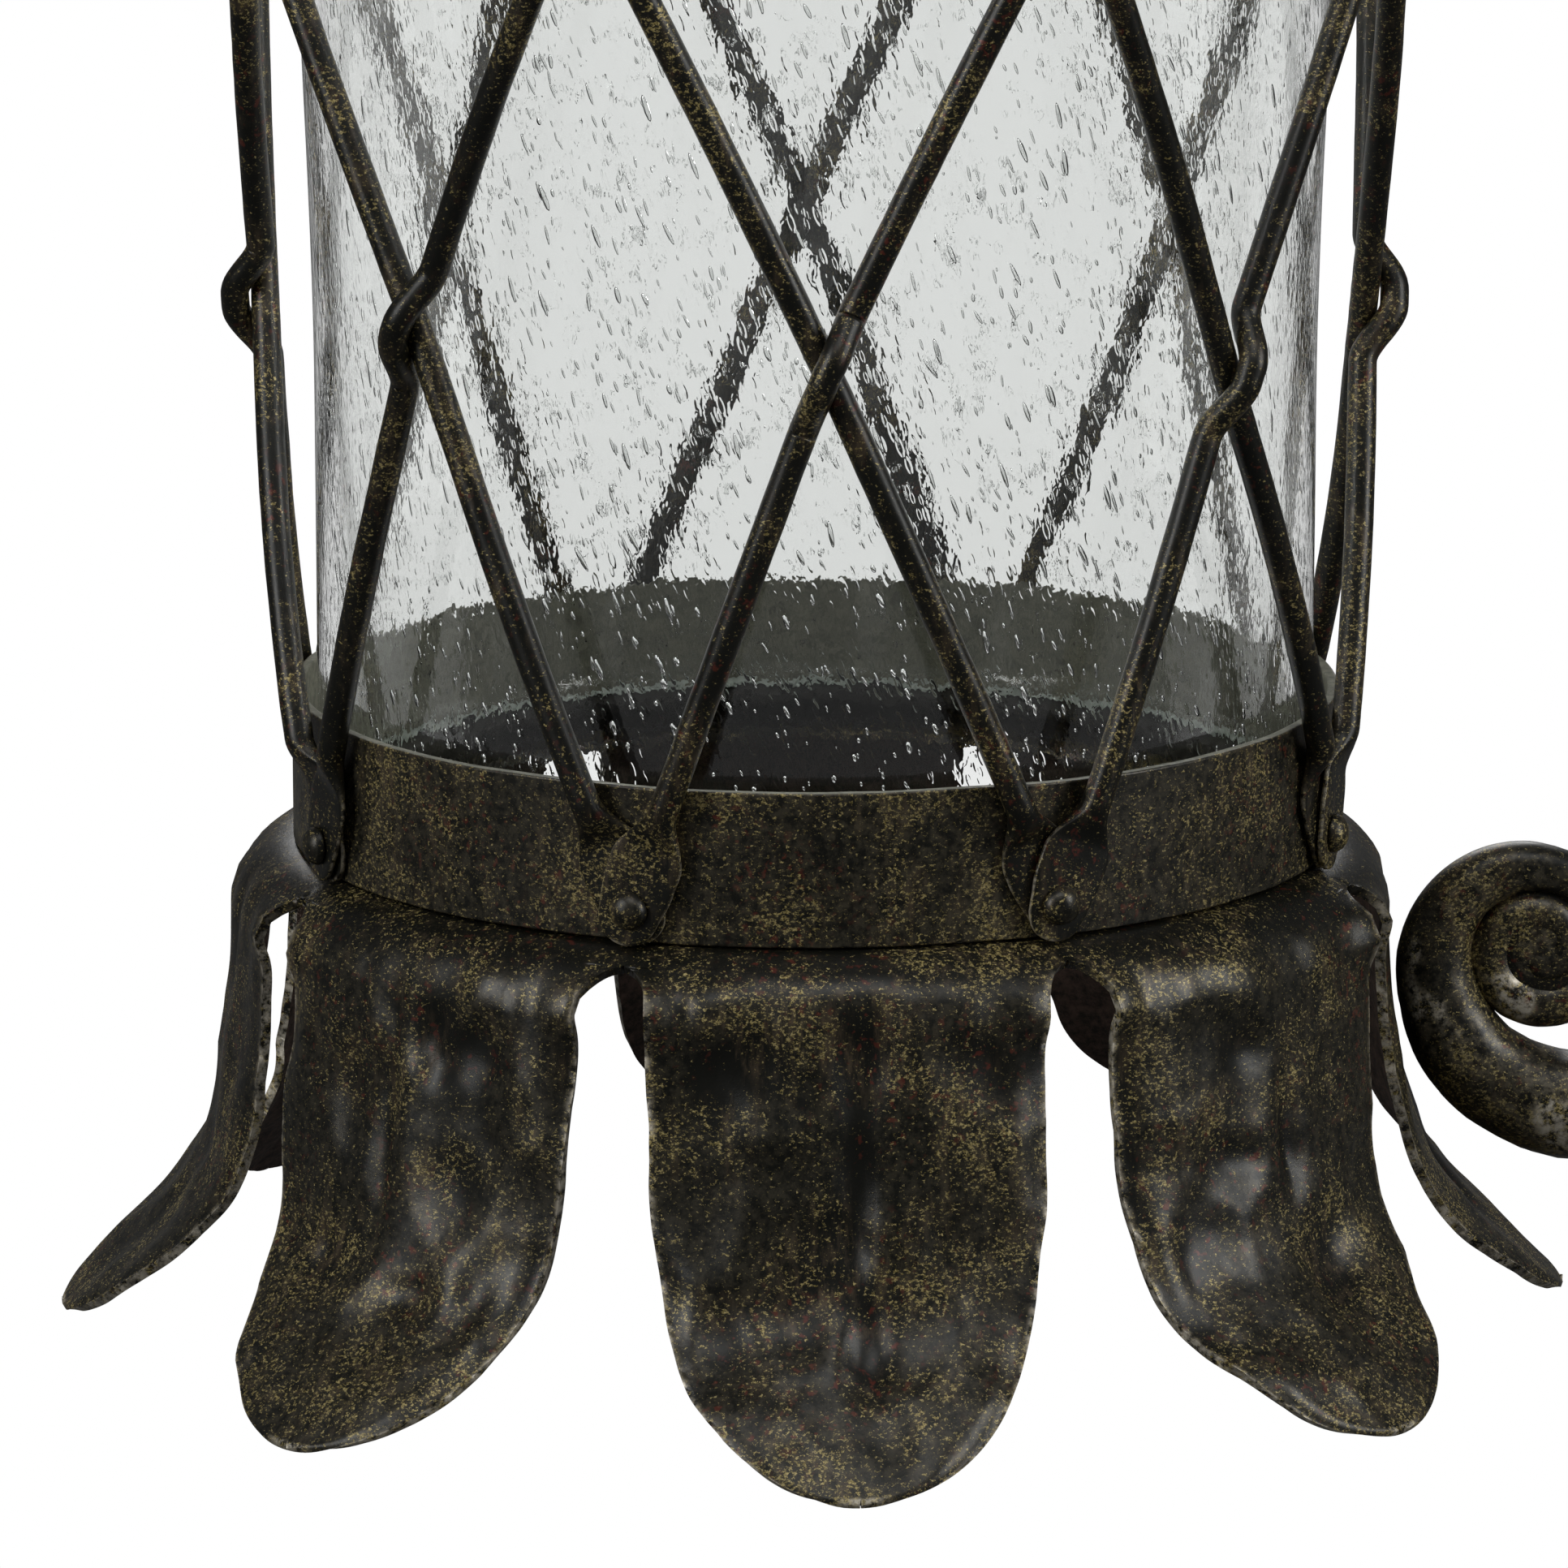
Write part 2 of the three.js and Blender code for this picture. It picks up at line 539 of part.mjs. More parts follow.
// ---------------------------------------------------------------- wall plate
function plateOutline() {
  const y = PLATE_W / 2 - PLATE_CORNER_R;
  const z = PLATE_H / 2 - PLATE_CORNER_R;
  const outline = new THREE.Shape();
  outline.absarc(y, z, PLATE_CORNER_R, 0, Math.PI / 2, false);
  outline.absarc(-y, z, PLATE_CORNER_R, Math.PI / 2, Math.PI, false);
  outline.absarc(-y, -z, PLATE_CORNER_R, Math.PI, 1.5 * Math.PI, false);
  outline.absarc(y, -z, PLATE_CORNER_R, 1.5 * Math.PI, 2 * Math.PI, false);
  const hole = (hy, hz, r) => outline.holes.push(new THREE.Path().absarc(hy, hz, r, 0, 2 * Math.PI, true));
  const screwY = PLATE_W / 2 - SCREW_SIDE;
  const screwZ = PLATE_H / 2 - SCREW_END;
  [-1, 1].forEach((end) => {
    hole(-screwY, end * screwZ, SCREW_HOLE_R);
    hole(screwY, end * screwZ, SCREW_HOLE_R);
    hole(0, end * stemRivetRise, STEM_RIVET_R + GAP);
  });
  return outline;
}
const plateDepth = { depth: PLATE_T, bevelEnabled: false, curveSegments: 6 };
const plate = new THREE.ExtrudeGeometry(plateOutline(), plateDepth);
// The outline is drawn in X and Y, and stands up in Y and Z with its thickness towards -X.
plate.rotateX(Math.PI / 2).rotateZ(Math.PI / 2).translate(-PLATE_T, 0, 0);
add(wall, "wall_plate", plate, iron);

stemRivetUps.forEach((up, i) => {
  const reach = PLATE_T + STEM_D + 2 * GAP;
  const dome = [0, 1, 2, 3].map((k) => {
    const a = (k * Math.PI) / 6;
    return [STEM_RIVET_HEAD_R * Math.cos(a), reach + 5 * Math.sin(a)];
  });
  const shaft = turned([[0, 0.2], [STEM_RIVET_R, 0.2], [STEM_RIVET_R, reach], ...dome], 14);
  add(wall, `stem_rivet_${i + 1}`, shaft.rotateY(-Math.PI / 2).translate(0, 0, up - wallCentreUp), iron);
});

// ---------------------------------------------------------------- lift-off top plate
const plateFoot = topEdge + GAP;
const lipOuter = topR - BAND_T - 0.9;
const topProfile = [
  [canHoleR, plateFoot],
  [lipOuter - 2.4, plateFoot],
  [lipOuter - 2.4, plateFoot - TOP_LIP_H],
  [lipOuter, plateFoot - TOP_LIP_H],
  [lipOuter, plateFoot],
  [topR, plateFoot],
  [topR, plateTop],
  [canHoleR, plateTop],
];
function ventSlot(angle) {
  const r = SLOT_W / 2;
  const outline = new THREE.Shape();
  outline.absarc(0, canFlangeR + SLOT_INSET + r, r, Math.PI, 2 * Math.PI, false);
  outline.absarc(0, topR - SLOT_EDGE - r, r, 0, Math.PI, false);
  const slot = new THREE.ExtrudeGeometry(outline, { depth: 8, bevelEnabled: false, curveSegments: 3 });
  return slot.translate(0, 0, plateFoot - 3).rotateZ(angle);
}
const vents = [...Array(PETALS).keys()].map((k) => ventSlot(TURN + k * PITCH));
add(torch, "top_plate", cut(turned(topProfile, ROUND_SIDES, true), ...vents), iron);

// ---------------------------------------------------------------- oil canister and burner
const canFoot = plateTop - CAN_DEPTH;
const flange = plateTop + GAP;
const canister = [
  [0, canFoot],
  [CAN_R - 2, canFoot],
  [CAN_R, canFoot + 2],
  [CAN_R, flange],
  [canFlangeR, flange],
  [canFlangeR, flange + CAN_WALL],
  [CAN_R, flange + CAN_WALL],
  [CAN_R - 4, flange + 8],
  [CAN_R - 14, flange + 15],
  [NECK_R + 5, flange + 19],
  [NECK_R, flange + 20.5],
  [NECK_R, plateTop + NECK_UP],
  [NECK_R - CAN_WALL, plateTop + NECK_UP],
  [NECK_R - CAN_WALL, flange + 19],
  [NECK_R + 4.5, flange + 17.4],
  [CAN_R - 15, flange + 13.4],
  [CAN_R - 5.4, flange + 6.6],
  [CAN_R - CAN_WALL, flange],
  [CAN_R - CAN_WALL, canFoot + CAN_WALL],
  [0, canFoot + CAN_WALL],
];
add(torch, "oil_canister", turned(canister, 24), blackSteel);

const neckTop = plateTop + NECK_UP;
const capTop = neckTop + 5;
const tubeR = WICK_R + GAP + 1.6;
const tubeTop = neckTop + 20;
const capProfile = [
  [WICK_R + GAP, neckTop + GAP],
  [NECK_R + 2 * GAP, neckTop + GAP],
  [NECK_R + 2 * GAP, neckTop - 7.5],
  [capR, neckTop - 7.5],
  [capR, capTop - 2],
  [capR - 2, capTop],
  [tubeR + 1.5, capTop],
  [tubeR, capTop + 2],
  [tubeR, tubeTop],
  [WICK_R + GAP, tubeTop],
];
const hingeUp = neckTop + HINGE_RISE;
const lugHalfY = 4;
const lug = new THREE.BoxGeometry(9, 2 * lugHalfY, 11).translate(hingeX - 1.5, 0, hingeUp - 2.5);
const pinHole = new THREE.CylinderGeometry(PIN_R + GAP, PIN_R + GAP, 30, 10).translate(hingeX, 0, hingeUp);
add(torch, "burner_cap", cut(join(turned(capProfile, 24, true), lug), pinHole), brass);
const wickTop = plateTop + WICK_UP;
const wickFoot = canFoot + 10;
add(torch, "wick", drill(WICK_R, wickFoot, wickTop, 12), fibre);

// Bell that covers the wick, on two cheeks that straddle the burner cap's lug.
const bellFoot = capTop + 0.6;
const bell = [
  [0, wickTop + 2.5],
  [snufferR - 4.5, wickTop + 1.5],
  [snufferR - 1.5, wickTop - 2.5],
  [snufferR - 1.5, bellFoot],
  [snufferR, bellFoot],
  [snufferR, wickTop - 2],
  [snufferR - 3, wickTop + 3],
  [3, wickTop + 4],
  [2, wickTop + 6],
  [4, wickTop + 9],
  [3, wickTop + 12],
  [0, wickTop + 13],
];
const cheekFrom = snufferR - 2.2;
const cheek = (side) => {
  const box = new THREE.BoxGeometry(hingeX + 3 - cheekFrom, 2, 6);
  return box.translate((hingeX + 3 + cheekFrom) / 2, side * (lugHalfY + GAP + 1), bellFoot + 3);
};
add(torch, "snuffer_cap", cut(join(turned(bell, 20), cheek(-1), cheek(1)), pinHole), blackSteel);

const pinHalf = lugHalfY + 2 * GAP + 2;
const pinProfile = [
  [0, -pinHalf - 1],
  [PIN_R + 1, -pinHalf - 1],
  [PIN_R + 1, -pinHalf],
  [PIN_R, -pinHalf],
  [PIN_R, pinHalf],
  [PIN_R + 1, pinHalf],
  [PIN_R + 1, pinHalf + 1],
  [0, pinHalf + 1],
];
const pin = turned(pinProfile, 10).rotateX(Math.PI / 2).translate(hingeX, 0, hingeUp);
add(torch, "snuffer_pin", pin, brass);

export default part;
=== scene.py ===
import math
from contextlib import contextmanager

import bmesh
import bpy
import numpy as np
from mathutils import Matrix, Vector


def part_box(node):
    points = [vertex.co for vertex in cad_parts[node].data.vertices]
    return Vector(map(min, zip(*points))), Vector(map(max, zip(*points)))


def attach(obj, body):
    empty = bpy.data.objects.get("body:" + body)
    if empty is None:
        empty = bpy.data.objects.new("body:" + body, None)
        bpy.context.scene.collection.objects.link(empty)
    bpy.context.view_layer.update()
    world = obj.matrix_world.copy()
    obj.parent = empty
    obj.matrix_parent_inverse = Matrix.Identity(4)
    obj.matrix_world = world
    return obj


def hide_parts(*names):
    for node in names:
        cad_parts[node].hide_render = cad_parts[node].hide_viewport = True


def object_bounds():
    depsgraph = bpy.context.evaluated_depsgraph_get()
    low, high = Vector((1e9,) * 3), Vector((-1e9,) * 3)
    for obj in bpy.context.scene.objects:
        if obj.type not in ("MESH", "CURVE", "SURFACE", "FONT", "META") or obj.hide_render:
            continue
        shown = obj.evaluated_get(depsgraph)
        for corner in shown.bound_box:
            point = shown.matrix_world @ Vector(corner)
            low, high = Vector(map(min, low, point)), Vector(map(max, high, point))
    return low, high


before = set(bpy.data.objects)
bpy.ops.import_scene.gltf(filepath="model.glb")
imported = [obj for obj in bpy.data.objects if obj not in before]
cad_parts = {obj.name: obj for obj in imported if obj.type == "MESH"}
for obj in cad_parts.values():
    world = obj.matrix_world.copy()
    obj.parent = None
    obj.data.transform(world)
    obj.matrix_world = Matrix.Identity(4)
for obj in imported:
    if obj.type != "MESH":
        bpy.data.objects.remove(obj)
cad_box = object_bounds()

MM = 0.001
band_low, band_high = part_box("lower_band")
top_low, top_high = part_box("top_band")
AXIS = (band_low + band_high) / 2
ORIGIN = np.array([AXIS.x, AXIS.y, band_low.z])

# ---- sizes, in millimetres
GAP = 0.3
PETALS = 8
PITCH = 2 * math.pi / PETALS
TURN = math.radians(0.9)
FOOT_TURN = math.radians(2.2)
BAND_R = (band_high.x - band_low.x) / 2 / MM
TOP_R = (top_high.x - top_low.x) / 2 / MM
BAND_H = (band_high.z - band_low.z) / MM
BAND_T = 2.5
TOP_FOOT = (top_low.z - band_low.z) / MM
TOP_EDGE = (top_high.z - band_low.z) / MM
FLARE = TOP_R - BAND_R
FLARE_FROM, FLARE_TO = 96, 310
RIVET_INSET = 7.5
FIRST_ROW_UP = 122
ROW_STEP = 107
HAND_SET = [3, -4, -3, -1, -2, -1, -3, 6]
SEED_LEAN = math.radians(19)
SCROLL_TUCK = 2.8  # how far the lower scroll presses into the petal beside it
ROD_D = 6.35
ROD_STANDOFF = 4.3
PADDLE_L = 32
PADDLE_T = 1.6
SKIRT_T = 2.5
SKIRT_RING_W = 19.5
SKIRT_INNER_R = 104
PETAL_HALF_W = 42.5
PETAL_DROP = 107
GLASS_T = 4.0
GLASS_R = 110.3
GLASS_FLARE = 7.0
FOOT_RISE = 2.4  # the ground foot of the glass, below its blown wall
STEM_R = 11.5
WALL_PLATE_T = 8
SADDLE_T = 5
PLATE_T = 2.5
HEX_R = 5.5
HEX_H = 4.0
WICK_R = 5.6
ON_BURNER = {"body": "burner", "slot": "burner_brass"}
ON_SNUFFER = {"body": "snuffer", "slot": "canister_steel"}
WALL_X = -ORIGIN[0] / MM
WALL_CENTRE_UP = -ORIGIN[2] / MM

# Dents on the three petals that face the front, by petal: middle across and down the sheet, half width,
# half height and depth.
DENTS = {
    0: [(2.5, 40, 7, 11, 3.0), (1.5, 70, 4.5, 15, 1.9), (3, 100, 5.5, 13, 2.5), (-24, 40, 11, 10, 1.2),
        (26, 42, 9, 10, 1.3), (-27, 97, 7, 11, 1.5), (-10, 92, 6, 9, 1.0), (24, 78, 8, 16, 1.0)],
    1: [(4.5, 62, 3.5, 16, 1.5), (-9, 43, 8, 6, 1.3), (-22, 74, 10, 10, 0.6), (10, 97, 8, 13, 1.6),
        (-5, 93, 6, 14, -1.0), (-10, 68, 6, 5, 1.0), (-30, 98, 4, 14, 0.8), (20, 62, 5, 18, 0.8)],
    7: [(7, 41, 6.5, 8, 2.6), (19, 41, 6.5, 8, 2.3), (-5, 60, 3.5, 24, 1.7), (-16, 50, 5, 20, 0.7),
        (10, 97, 7, 5, 1.4), (-25, 92, 7, 8, 1.4), (13, 74, 9, 10, 0.7), (25, 98, 5, 8, 1.0)],
}

rng = np.random.default_rng(7)


# ---- numbers
def smooth(x, low, high):
    """0 below low, 1 above high and an eased rise between them."""
    t = np.clip((np.asarray(x, float) - low) / (high - low), 0, 1)
    return t * t * (3 - 2 * t)


def mix(a, b, t):
    return a + (b - a) * t


def xyz(x, y, z):
    """An array of points from their coordinates."""
    return np.stack(np.broadcast_arrays(x, y, z), -1)


def polar(angle, r, z):
    """Points at angles round the torch axis, in millimetres."""
    return xyz(r * np.sin(angle), -r * np.cos(angle), z)


def radially(angle, x, y, away, up):
    """Moves points from a frame whose third axis points away from the torch axis into the torch's frame."""
    c, s = math.cos(angle), math.sin(angle)
    return xyz(c * x + s * away, s * x - c * away, y + up)


def round_angles(count):
    """Even steps of a full turn."""
    return np.arange(count) / count * 2 * math.pi


def cad_mm(name):
    """The low and high corners of a CAD node's box, in millimetres about the torch axis."""
    return [(np.array(corner) - ORIGIN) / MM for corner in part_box(name)]


def value_noise(points, size, seed=0):
    """Smooth noise from -1 to 1 with features about size across."""
    p = np.asarray(points, float) / size
    cell = np.floor(p).astype(np.int64)
    f = p - cell
    u = f * f * f * (f * (f * 6 - 15) + 10)
    total = np.zeros(p.shape[:-1])
    for corner in np.ndindex(2, 2, 2):
        c = cell + np.array(corner)
        h = c[..., 0] * 374761393 + c[..., 1] * 668265263 + c[..., 2] * 1274126177 + seed * 974634777
        h = (h ^ (h >> 13)) * 1274126177
        value = ((h ^ (h >> 16)) & 0xFFFF) / 32767.5 - 1
        weight = np.where(np.array(corner), u, 1 - u).prod(-1)
        total += value * weight
    return total


def layered_noise(points, size, seed=0, layers=3):
    return sum(value_noise(points, size / 2**i, seed + i) / 2**i for i in range(layers)) / 1.5


def catmull_rom(points, count):
    """A smooth line through points, resampled to even steps."""
    p = np.array(points, float)
    p = np.vstack([2 * p[0] - p[1], p, 2 * p[-1] - p[-2]])
    fine = []
    for i in range(1, len(p) - 2):
        t = np.linspace(0, 1, 60, endpoint=i == len(p) - 3)[:, None]
        a, b, c, d = p[i - 1 : i + 3]
        fine.append(
            0.5 * (2 * b + (c - a) * t + (2 * a - 5 * b + 4 * c - d) * t**2 + (3 * b - a - 3 * c + d) * t**3)
        )
    fine = np.vstack(fine)
    length = np.r_[0, np.cumsum(np.linalg.norm(np.diff(fine, axis=0), axis=1))]
    at = np.linspace(0, length[-1], count)
    return np.stack([np.interp(at, length, fine[:, k]) for k in range(p.shape[1])], -1), length[-1]


# ---- materials
class Nodes:
    """Short ways to add shader nodes whose inputs are numbers, colours or other nodes' outputs."""

    def __init__(self, tree):
        self.tree = tree

    def put(self, socket, value):
        if isinstance(value, bpy.types.NodeSocket):
            self.tree.links.new(value, socket)
        elif socket.type == "RGBA":
            socket.default_value = (*value, 1)
        else:
            socket.default_value = value

    def add(self, kind, inputs=None, **settings):
        made = self.tree.nodes.new("ShaderNode" + kind)
        for key, value in settings.items():
            setattr(made, key, value)
        for key, value in (inputs or {}).items():
            self.put(made.inputs[key], value)
        return made

    def maths(self, operation, a, b):
        return self.add("Math", {0: a, 1: b}, operation=operation).outputs[0]

    def times(self, a, b):
        return self.maths("MULTIPLY", a, b)

    def plus(self, a, b, share=1.0):
        """a and a share of b, added."""
        return self.maths("ADD", a, self.times(b, share))

    def ramp(self, fac, low, high, start=0.0, end=1.0, interpolation="LINEAR"):
        """start up to low, end from high on, and a slope between them."""
        made = self.add("ValToRGB", {"Fac": fac})
        made.color_ramp.interpolation = interpolation
        for element, place, value in zip(made.color_ramp.elements, (low, high), (start, end)):
            element.position = place
            element.color = (value, value, value, 1)
        return made.outputs["Color"]

    def blend(self, fac, a, b):
        return self.add("Mix", {"Factor": fac, 6: a, 7: b}, data_type="RGBA").outputs[2]


class Surface(Nodes):
    """A material whose patterns are fixed to the object."""

    def __init__(self, name):
        self.material = bpy.data.materials.new(name)
        self.material.use_nodes = True
        super().__init__(self.material.node_tree)
        self.coords = self.add("TexCoord").outputs["Object"]

    def attribute(self, name):
        return self.add("Attribute", attribute_name=name).outputs["Fac"]

    def mapped(self, vector, **inputs):
        return self.add("Mapping", {"Vector": vector, **inputs}).outputs[0]

    def noise(self, size_mm, detail=3.0, roughness=0.55, stretch=None, distortion=0.0):
        """Noise with features about size_mm across; stretch scales the coordinates along X, Y and Z."""
        vector = self.mapped(self.coords, Scale=stretch) if stretch else self.coords
        inputs = {"Vector": vector, "Scale": 1000 / size_mm, "Detail": detail, "Roughness": roughness}
        return self.add("TexNoise", {**inputs, "Distortion": distortion}).outputs["Fac"]

    def bump(self, height, strength, distance_mm):
        inputs = {"Height": height, "Strength": strength, "Distance": distance_mm * MM}
        return self.add("Bump", inputs).outputs[0]

    def finish(self, colour, roughness, normal=None, **others):
        """Fills in the shader's sockets and returns the material. _ stands for a space in a socket's name."""
        sockets = self.tree.nodes["Principled BSDF"].inputs
        self.put(sockets["Base Color"], colour)
        self.put(sockets["Roughness"], roughness)
        if normal is not None:
            self.put(sockets["Normal"], normal)
        for key, value in others.items():
            self.put(sockets[key.replace("_", " ")], value)
        return self.material


def aged_iron():
    """Near-black forged iron, with gold and rust-red speckles rubbed through and worn, lighter edges."""
    m = Surface("aged_iron")
    wear = m.attribute("wear")
    fine = m.noise(0.7, 3, 0.8, stretch=(0.7, 0.7, 1))
    rubbed = m.noise(10, 5, 0.7, stretch=(1, 1, 0.5))
    # Speckles are dense in patches of the surface, in rubbed streaks and where it is worn; on the scroll's
    # front side that wear includes a painted highlight.
    patches = m.ramp(m.noise(24, 4, 0.65), 0.42, 0.60)
    speckle = m.plus(fine, patches, 0.085)
    speckle = m.plus(speckle, m.ramp(rubbed, 0.48, 0.64), 0.045)
    speckle = m.plus(speckle, wear, 0.065)
    gold_mask = m.ramp(speckle, 0.628, 0.69)
    gold = m.blend(m.ramp(m.noise(0.45, 2, 0.6), 0.4, 0.6), (0.15, 0.115, 0.030), (0.40, 0.325, 0.14))
    red_spots = m.ramp(m.noise(2.2, 2, 0.6), 0.60, 0.68, 0.0, 0.85)
    red_mask = m.times(red_spots, m.ramp(m.noise(34, 2, 0.5), 0.48, 0.6))
    dry = m.ramp(m.noise(3.5, 5, 0.75, stretch=(1, 1, 0.22)), 0.49, 0.64)
    colour = m.blend(m.times(dry, patches), (0.0048, 0.0050, 0.0033), (0.060, 0.044, 0.027))
    colour = m.blend(red_mask, colour, (0.080, 0.016, 0.009))
    colour = m.blend(gold_mask, colour, gold)
    # Where wear is high the iron shows silver. On the scroll's front side this is a painted highlight;
    # elsewhere it is worn metal.
    bare = m.times(wear, m.ramp(m.noise(2.4, 4, 0.7), 0.42, 0.62))
    silver = m.blend(m.maths("POWER", wear, 3.0), (0.17, 0.145, 0.095), (0.50, 0.46, 0.38))
    rough = m.plus(m.plus(0.21, rubbed, 0.34), gold_mask, 0.08)
    relief = m.plus(m.times(fine, 0.5), m.noise(5), 0.7)
    return m.finish(m.blend(bare, colour, silver), rough, m.bump(relief, 0.3, 0.3), Metallic=0.3,
                    Specular_IOR_Level=0.45)


def matt_iron(name, dark, pale, roughness):
    """Unpolished iron, for the faces that turn inwards, with a mottle of its two given colours. For the seat
    ring those colours are painted shade, for the bands' inner faces painted light.
    """
    m = Surface(name)
    mottle = m.ramp(m.noise(2.5, 5, 0.75), 0.38, 0.62)
    return m.finish(m.blend(mottle, dark, pale), roughness, Specular_IOR_Level=0.15)


def seeded_glass():
    """Clear, faintly grey glass. Fine ripples and the smallest seeds are relief; big seeds are modelled."""
    m = Surface("seeded_glass")
    ripples = m.noise(2.4, 2, 0.5, stretch=(1, 1, 0.6), distortion=0.3)
    broad = m.noise(10, 2, 0.5, stretch=(1, 1, 0.6))
    height = m.plus(m.times(ripples, 0.24), broad, 0.35)
    cells = m.mapped(m.mapped(m.coords, Rotation=(0, SEED_LEAN, 0)), Scale=(1, 1, 0.3))
    for size, deep in ((3.3, 0.2), (2.1, 0.1)):
        seeds = m.add("TexVoronoi", {"Vector": cells, "Scale": 1000 / size}).outputs["Distance"]
        height = m.plus(height, m.ramp(seeds, 0.13, 0.24, 1.0, 0.0, "EASE"), deep)
    # The lamps shine through the glass onto what is behind it.
    shadow = m.add("LightPath").outputs["Is Shadow Ray"]
    alpha = m.maths("SUBTRACT", 1.0, m.times(shadow, 0.88))
    return m.finish((0.872, 0.883, 0.874), 0.0, m.bump(height, 1.0, 0.14), IOR=1.5, Alpha=alpha,
                    Transmission_Weight=1.0)


def satin_steel():
    """Satin black paint with a faint orange peel and rubbed rims."""
    m = Surface("canister_black")
    smudge = m.noise(22, 4, 0.6)
    rubbed = m.times(m.attribute("wear"), m.ramp(m.noise(1.8, 4, 0.7), 0.46, 0.6))
    paint = m.blend(smudge, (0.011, 0.0105, 0.010), (0.024, 0.022, 0.020))
    peel = m.bump(m.noise(1.2, 2, 0.5), 0.2, 0.2)
    return m.finish(m.blend(rubbed, paint, (0.19, 0.17, 0.15)), m.plus(0.25, smudge, 0.25), peel)


def aged_brass():
    """Dull brass, browned in patches."""
    m = Surface("aged_brass")
    tarnish = m.noise(7, 5, 0.65)
    brown = m.blend(m.ramp(tarnish, 0.38, 0.62), (0.10, 0.055, 0.018), (0.34, 0.21, 0.075))
    colour = m.blend(m.attribute("wear"), brown, (0.52, 0.36, 0.15))
    rough = m.plus(0.22, m.noise(0.8, 3, 0.6), 0.25)
    return m.finish(colour, rough, m.bump(tarnish, 0.15, 0.3), Metallic=1.0)


def wick_fibre():
    """Woven glass fibre, charred black towards the tip."""
    m = Surface("wick_fibre")
    strands = m.noise(0.5, 2, 0.6, stretch=(1, 1, 0.35))
    cloth = m.blend(strands, (0.55, 0.50, 0.40), (0.80, 0.76, 0.66))
    burnt = m.plus(m.attribute("char"), m.maths("SUBTRACT", strands, 0.5), 0.6)
    return m.finish(m.blend(m.ramp(burnt, 0.35, 0.7), cloth, (0.012, 0.010, 0.009)), 0.9, Sheen_Weight=0.3)


def ground_glass():
    """Rough glass, where the chimney's foot was ground."""
    m = Surface("ground_glass")
    return m.finish(m.blend(m.noise(3, 4, 0.7), (0.08, 0.10, 0.08), (0.36, 0.40, 0.36)), 0.35)


IRON = aged_iron()
# Painted shade: the seat ring's iron is made near-black for the shade inside the lower band.
SEAT_PAINTED_SHADE = matt_iron("seat_iron_painted_shade", (0.003, 0.003, 0.0026), (0.010, 0.009, 0.007), 0.75)
# Painted light: the bands' inner faces get an olive iron far lighter than their outsides, for the light and
# reflections that reach them through the glass.
BAND_INSIDE_PAINTED_LIGHT = matt_iron("band_inside_painted_light", (0.075, 0.077, 0.058), (0.150, 0.149, 0.113), 0.7)
PETAL_INSIDE = matt_iron("petal_inside", (0.012, 0.0095, 0.0075), (0.055, 0.035, 0.027), 0.7)
GLASS = seeded_glass()
BLACK = satin_steel()
BRASS = aged_brass()
FIBRE = wick_fibre()
GROUND_GLASS = ground_glass()


# ---- meshes
def piece(name, points, faces, material, replaces=(), body="torch", slot="aged_iron", **attributes):
    """A smooth-shaded mesh from points in millimetres about the torch axis, riding on a CAD body."""
    mesh = bpy.data.meshes.new(name)
    points = np.asarray(points, float).reshape(-1, 3) * MM + ORIGIN
    mesh.from_pydata(points.tolist(), [], [tuple(int(i) for i in f) for f in faces])
    mesh.update()
    mesh.polygons.foreach_set("use_smooth", np.ones(len(mesh.polygons), bool))
    for key, values in attributes.items():
        layer = mesh.attributes.new(key, "FLOAT", "POINT")
        layer.data.foreach_set("value", np.ravel(values).astype(np.float32))
    mesh.materials.append(material)
    made = add_object(name, mesh)
    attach(made, body)
    if replaces:
        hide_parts(*replaces)
    return made


def add_object(name, data):
    made = bpy.data.objects.new(name, data)
    bpy.context.scene.collection.objects.link(made)
    return made


@contextmanager
def edited(made):
    """A piece's mesh, open for bmesh tools."""
    work = bmesh.new()
    work.from_mesh(made.data)
    yield work
    work.to_mesh(made.data)
    work.free()


def grid_faces(rows, columns, wrap=False, loop=False, start=0):
    """Quads of a grid of points, joined round its columns if wrap and round its rows if loop."""
    r, c = np.meshgrid(np.arange(rows - (not loop)), np.arange(columns - (not wrap)), indexing="ij")
    here = r * columns
    there = (r + 1) % rows * columns
    nxt = (c + 1) % columns
    quads = np.stack([here + c, here + nxt, there + nxt, there + c], -1)
    return (quads.reshape(-1, 4) + start).tolist()


def capped(rings, first, last):
    """Points and faces of a tube of rings that is drawn to one point at each end."""
    rows, sides = rings.shape[:2]
    n = rows * sides
    faces = grid_faces(rows, sides, wrap=True)
    faces += [[n, (c + 1) % sides, c] for c in range(sides)]
    faces += [[n + 1, n - sides + c, n - sides + (c + 1) % sides] for c in range(sides)]
    return np.vstack([rings.reshape(-1, 3), first, last]), faces


def fillet(profile, radius, steps=4):
    """Rounds the corners of a closed or axis-to-axis [r, z] profile and keeps points that lie on the axis."""
    p = [np.array(q, float) for q in profile]
    closed = profile[0][0] > 1e-6
    out = []
    for i, q in enumerate(p):
        if not closed and i in (0, len(p) - 1):
            out.append(q)
            continue
        a, b = p[i - 1] - q, p[(i + 1) % len(p)] - q
        la, lb = np.linalg.norm(a), np.linalg.norm(b)
        cut = min(radius, 0.42 * la, 0.42 * lb)
        s, e = q + a / la * cut, q + b / lb * cut
        for t in np.linspace(0, 1, steps + 1):
            out.append((1 - t) ** 2 * s + 2 * t * (1 - t) * q + t**2 * e)
    return out, closed


